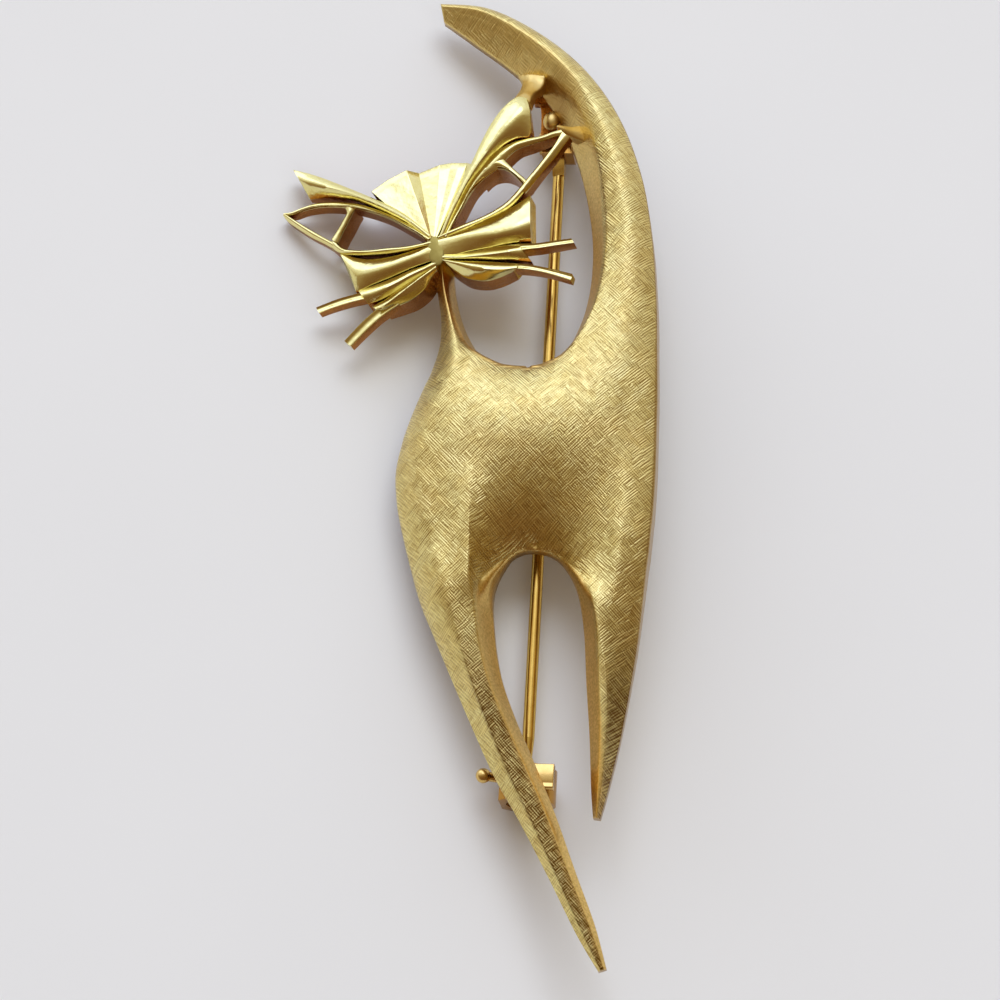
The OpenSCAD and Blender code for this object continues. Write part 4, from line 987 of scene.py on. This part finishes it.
# Catch: both ends of its housing along the brooch; left side, lower end and profile of the plate on it, the
# profile as places along the brooch and heights; and the lever's play at the end of its way, in degrees
CATCH_TOP, CATCH_END = -21.85, -24.4
PLATE_LEFT, PLATE_END = -0.9, CATCH_END + 0.9
PLATE_PROFILE = ((-21.85, 0.05), (-22.15, 0.10), (-22.75, 0.26), (-23.25, 0.12), (-23.3, 0.12), (-23.6, 0.2),
                 (-23.7, 0.05))
LEVER_PLAY = 2

# Length that reaches clear of everything, bevels, and the angles in degrees from which edges are bevelled and
# sharp
CLEAR = 5.0
HINGE_BEVEL, CATCH_BEVEL, PLATE_BEVEL = 0.12, 0.3, 0.06
BEVEL_ANGLE, FINDING_SHARP = 35, 40

# Sides of a round and steps of a bevel
HINGE_ROUND, CATCH_ROUND, BEVEL_STEPS = 64, 96, 3


def block(bm, low, high):
    low, high = Vector(low), Vector(high)
    matrix = Matrix.Translation((low + high) / 2) @ Matrix.Diagonal((*(high - low), 1.0))
    bmesh.ops.create_cube(bm, size=1.0, matrix=matrix)


def rod(bm, centre, radius, length, axis, segments):
    turn = Matrix.Rotation(math.pi / 2, 4, "Y" if axis == "X" else "X")
    bmesh.ops.create_cone(bm, cap_ends=True, segments=segments, radius1=radius, radius2=radius, depth=length,
                          matrix=Matrix.Translation(centre) @ turn)


def prism(bm, near, far):
    """Solid between two outlines with as many points."""
    near, far = ([bm.verts.new(p) for p in outline] for outline in (near, far))
    bm.faces.new(near)
    bm.faces.new(far[::-1])
    for i in range(len(near)):
        j = (i + 1) % len(near)
        bm.faces.new((near[i], far[i], far[j], near[j]))
    bmesh.ops.recalc_face_normals(bm, faces=bm.faces)


def solid(name, shape, *sizes):
    """New object with one of the shapes above."""
    bm = bmesh.new()
    shape(bm, *sizes)
    mesh = bpy.data.meshes.new(name)
    bm.to_mesh(mesh)
    bm.free()
    return new_object(name, mesh)


def apply_modifiers(obj):
    """Mesh of the object with its modifiers worked in."""
    bpy.context.view_layer.update()
    done = bpy.data.meshes.new_from_object(obj.evaluated_get(bpy.context.evaluated_depsgraph_get()))
    obj.modifiers.clear()
    obj.data = done


def change(target, operation, shape, *sizes):
    """Adds a shape to the target, or cuts it out."""
    tool = solid("tool", shape, *sizes)
    modifier = target.modifiers.new("cut", "BOOLEAN")
    modifier.operation = operation
    modifier.solver = "EXACT"
    modifier.object = tool
    apply_modifiers(target)
    bpy.data.objects.remove(tool)


def finish_part(obj, width):
    """Bevels a cut part, lays it and shades it."""
    bevel = obj.modifiers.new("bevel", "BEVEL")
    bevel.width = width
    bevel.segments = BEVEL_STEPS
    bevel.limit_method = "ANGLE"
    bevel.angle_limit = math.radians(BEVEL_ANGLE)
    apply_modifiers(obj)
    obj.data.transform(LYING)
    obj.data.polygons.foreach_set("use_smooth", [True] * len(obj.data.polygons))
    shade_by_angle(obj, FINDING_SHARP)
    return obj


def make_hinge_base():
    """Small plate with two bored ears."""
    gap_w = JOINT_T + 2 * SIDE_FIT
    ears_w = gap_w + 2 * EAR_T
    axle = (0, HINGE_Y, -PIN_DROP)
    obj = solid("hinge_base", block, (HINGE_LEFT, HINGE_END, -BASE_T),
                (BASE_RIGHT, HINGE_Y + HINGE_L / 2, SUNK))
    change(obj, "UNION", rod, axle, EAR_R, ears_w, "X", HINGE_ROUND)
    change(obj, "UNION", block, (-ears_w / 2, HINGE_Y - EAR_R, -PIN_DROP),
           (ears_w / 2, HINGE_Y + EAR_R, -BASE_T + OVERLAP))
    change(obj, "DIFFERENCE", block, (-gap_w / 2, HINGE_Y - CLEAR, -PIN_DROP - CLEAR),
           (gap_w / 2, HINGE_Y + CLEAR, -BASE_T))
    change(obj, "DIFFERENCE", rod, axle, RIVET_D / 2 + RIVET_FIT, 2 * CLEAR, "X", HINGE_ROUND)
    return finish_part(obj, HINGE_BEVEL)


def make_catch_plate():
    """Ridged plate that the housing is soldered to."""
    outline = [*PLATE_PROFILE, (PLATE_PROFILE[-1][0], -BASE_T), (PLATE_PROFILE[0][0], -BASE_T)]
    sides = [[(x, y, z) for y, z in outline] for x in (PLATE_LEFT, CATCH_D / 2)]
    return finish_part(solid("catch_plate", prism, *sides), PLATE_BEVEL)


def make_catch_base():
    """Catch housing: a barrel with a bore, a throat for the pin and a window for the lever."""
    bore_r, half_w = ROLLER_D / 2 + ROLLER_FIT, LEVER_D / 2 + LEVER_FIT
    half_turn = math.degrees(math.asin(half_w / bore_r))
    window = math.radians(180 - LEVER_RISE - half_turn - LEVER_PLAY)
    low, middle, high = -CATCH_Y - CATCH_L, -CATCH_Y, -CATCH_Y + CATCH_L
    outline = [(0, 0), (CLEAR * math.cos(window), CLEAR * math.sin(window)), (-CLEAR, 0), (-CLEAR, -CLEAR),
               (0, -CLEAR)]
    sides = [[(x, middle + side, z - PIN_DROP) for x, z in outline] for side in (-half_w, half_w)]
    obj = solid("catch_base", rod, (0, (CATCH_TOP + CATCH_END) / 2, -PIN_DROP), CATCH_D / 2,
                CATCH_TOP - CATCH_END, "Y", CATCH_ROUND)
    change(obj, "UNION", block, (PLATE_LEFT, PLATE_END, -BASE_T - OVERLAP),
           (CATCH_D / 2, CATCH_TOP, -OVERLAP / 2))
    change(obj, "DIFFERENCE", rod, (0, middle, -PIN_DROP), bore_r, 2 * CATCH_L, "Y", CATCH_ROUND)
    change(obj, "DIFFERENCE", block, (-CATCH_LEFT - CLEAR, low, -PIN_DROP - CLEAR),
           (-CATCH_LEFT, high, CLEAR))
    change(obj, "DIFFERENCE", block, (-THROAT_W / 2, low, -PIN_DROP - CLEAR),
           (THROAT_W / 2, high, -PIN_DROP))
    change(obj, "DIFFERENCE", prism, *sides)
    return finish_part(obj, CATCH_BEVEL)


# Scene

# Camera in the photo's place, in metres, and its lens and sensor in millimetres
CAMERA_AT = (-0.02259, -0.079815, 0.248)
CAMERA_AHEAD = (0.100702, 0.300284, -0.948519)
CAMERA_UP = (-0.090055, 0.952203, 0.29189)
CAMERA_NEAR, CAMERA_FAR = 0.01, 20.0
CAMERA_LENS, CAMERA_SENSOR = 125.4, 36.0

# Half the floor's side, in metres
FLOOR_HALF = 1.2

# Room light: from a dark side towards the viewer to a bright side beyond the brooch, and on that side two
# windows, each with its direction, where its glow starts and is full, and its light
BRIGHT_SIDE = (-0.25, 0.95, 0.17)
ROOM = ((0.0, (0.16, 0.08, 0.03)), (0.18, (0.20, 0.11, 0.05)), (0.37, (0.26, 0.17, 0.09)),
        (0.57, (0.36, 0.28, 0.18)), (0.65, (0.62, 0.56, 0.48)), (0.79, (0.90, 0.90, 0.98)),
        (0.9, (0.95, 1.00, 1.20)))
WINDOWS = (((-0.16, 0.60, 0.79), 0.90, 0.975, (0.95, 1.10, 1.70)),
           ((-0.62, 0.74, 0.26), 0.92, 0.98, (0.80, 0.90, 1.20)))


def make_camera():
    """Camera at the photo's viewing angle."""
    data = bpy.data.cameras.new("camera")
    data.lens, data.sensor_width = CAMERA_LENS, CAMERA_SENSOR
    data.clip_start, data.clip_end = CAMERA_NEAR, CAMERA_FAR
    camera = new_object("camera", data)
    ahead, up = Vector(CAMERA_AHEAD).normalized(), Vector(CAMERA_UP).normalized()
    right = ahead.cross(up).normalized()
    rotation = Matrix((right, right.cross(ahead), -ahead)).transposed()
    camera.matrix_world = Matrix.Translation(CAMERA_AT) @ rotation.to_4x4()
    bpy.context.scene.camera = camera


def soft_light(name, at, size, power, colour):
    """Large lamp that faces the middle of the scene and isn't mirrored in the metal."""
    data = bpy.data.lights.new(name, "AREA")
    data.shape = "RECTANGLE"
    data.size, data.size_y = size
    data.energy = power
    data.color = colour
    light = new_object(name, data)
    light.visible_glossy = False
    light.location = at
    light.rotation_euler = (-Vector(at)).to_track_quat("-Z", "Y").to_euler()


def make_world():
    """Soft room light with two windows."""
    world = bpy.data.worlds.new("room")
    bpy.context.scene.world = world
    world.use_nodes = True
    tree = world.node_tree
    tree.nodes.clear()
    n = Nodes(tree)
    direction = n.add("ShaderNodeTexCoord").outputs["Generated"]

    def towards(side):
        side = tuple(Vector(side).normalized())
        inputs = {0: direction, 1: side}
        return n.add("ShaderNodeVectorMath", inputs, operation="DOT_PRODUCT").outputs["Value"]

    level = n.add("ShaderNodeValToRGB", {0: n.math("MULTIPLY_ADD", towards(BRIGHT_SIDE), 0.5, 0.5)})
    stops = level.color_ramp.elements
    for place, value in ROOM:
        stops.new(place).color = (*value, 1.0)
    stops.remove(stops[-1])
    stops.remove(stops[0])
    total = level.outputs[0]
    for side, edge, full, light in WINDOWS:
        window = n.add("ShaderNodeMapRange", {0: towards(side), 1: edge, 2: full},
                       interpolation_type="SMOOTHSTEP").outputs[0]
        glow = n.add("ShaderNodeVectorMath", {0: light, "Scale": window}, operation="SCALE").outputs[0]
        total = n.add("ShaderNodeVectorMath", {0: total, 1: glow}).outputs[0]
    background = n.add("ShaderNodeBackground", {"Color": total, "Strength": 1.0})
    out = n.add("ShaderNodeOutputWorld")
    tree.links.new(background.outputs[0], out.inputs[0])


def make_floor():
    low, high = -FLOOR_HALF, FLOOR_HALF
    mesh = bpy.data.meshes.new("floor")
    mesh.from_pydata([(low, low, 0), (high, low, 0), (high, high, 0), (low, high, 0)], [], [(0, 1, 2, 3)])
    floor = new_object("floor", mesh)
    set_material(floor, floor_material())


make_camera()
make_world()
make_floor()
soft_light("key", (-0.02, 0.34, 0.60), (0.45, 0.30), 1.35, (0.98, 1.0, 1.0))
soft_light("fill", (0.12, -0.30, 0.50), (0.50, 0.50), 0.45, (0.99, 1.0, 1.0))

hatched = hatched_gold()
polished = polished_gold("polished_gold", (0.84, 0.73, 0.25, 1.0), (0.93, 0.86, 0.42, 1.0), 0.12)
# Darker, rougher gold of the face's hub
darker_hub_gold = polished_gold("darker_hub_gold", (0.33, 0.26, 0.06, 1.0), (0.44, 0.35, 0.10, 1.0), 0.36)
melted_gold = polished_gold("melted_gold", (0.66, 0.47, 0.15, 1.0), (0.82, 0.62, 0.23, 1.0), 0.30)
# Gold darkened with painted shade, for the face's walls and the pad behind the bridges
painted_shade_gold = polished_gold("painted_shade_gold", (0.36, 0.13, 0.015, 1.0), (0.50, 0.21, 0.04, 1.0), 0.22)
wire = finding_gold("gilt_wire", (0.62, 0.38, 0.07, 1.0), (0.80, 0.55, 0.14, 1.0), 0.14)
# Findings' gold darkened with painted shade, for the hinge's plate and the catch's housing
painted_shade_finding = finding_gold("painted_shade_finding", (0.42, 0.20, 0.03, 1.0), (0.58, 0.32, 0.07, 1.0), 0.16)
finding = finding_gold("gilt_finding", (0.66, 0.42, 0.11, 1.0), (0.82, 0.60, 0.22, 1.0), 0.18)

body = make_body()
face = make_face((polished, painted_shade_gold, darker_hub_gold))
bridges = make_bridges(melted_gold)
pad = make_pad((painted_shade_gold, painted_shade_gold, melted_gold))
hinge_base = make_hinge_base()
catch_base = make_catch_base()
catch_plate = make_catch_plate()
for piece in (body, face, bridges, pad, hinge_base, catch_base, catch_plate):
    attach(piece, "brooch")
    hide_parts("cat_casting")
set_material(body, hatched)
set_material(hinge_base, painted_shade_finding)
set_material(catch_base, painted_shade_finding)
set_material(catch_plate, finding)
set_material(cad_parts["pin_stem"], wire)
set_material(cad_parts["hinge_rivet"], finding)
set_material(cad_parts["catch_roller"], finding)

bpy.context.scene.view_settings.view_transform = "Standard"
bpy.context.scene.view_settings.look = "None"
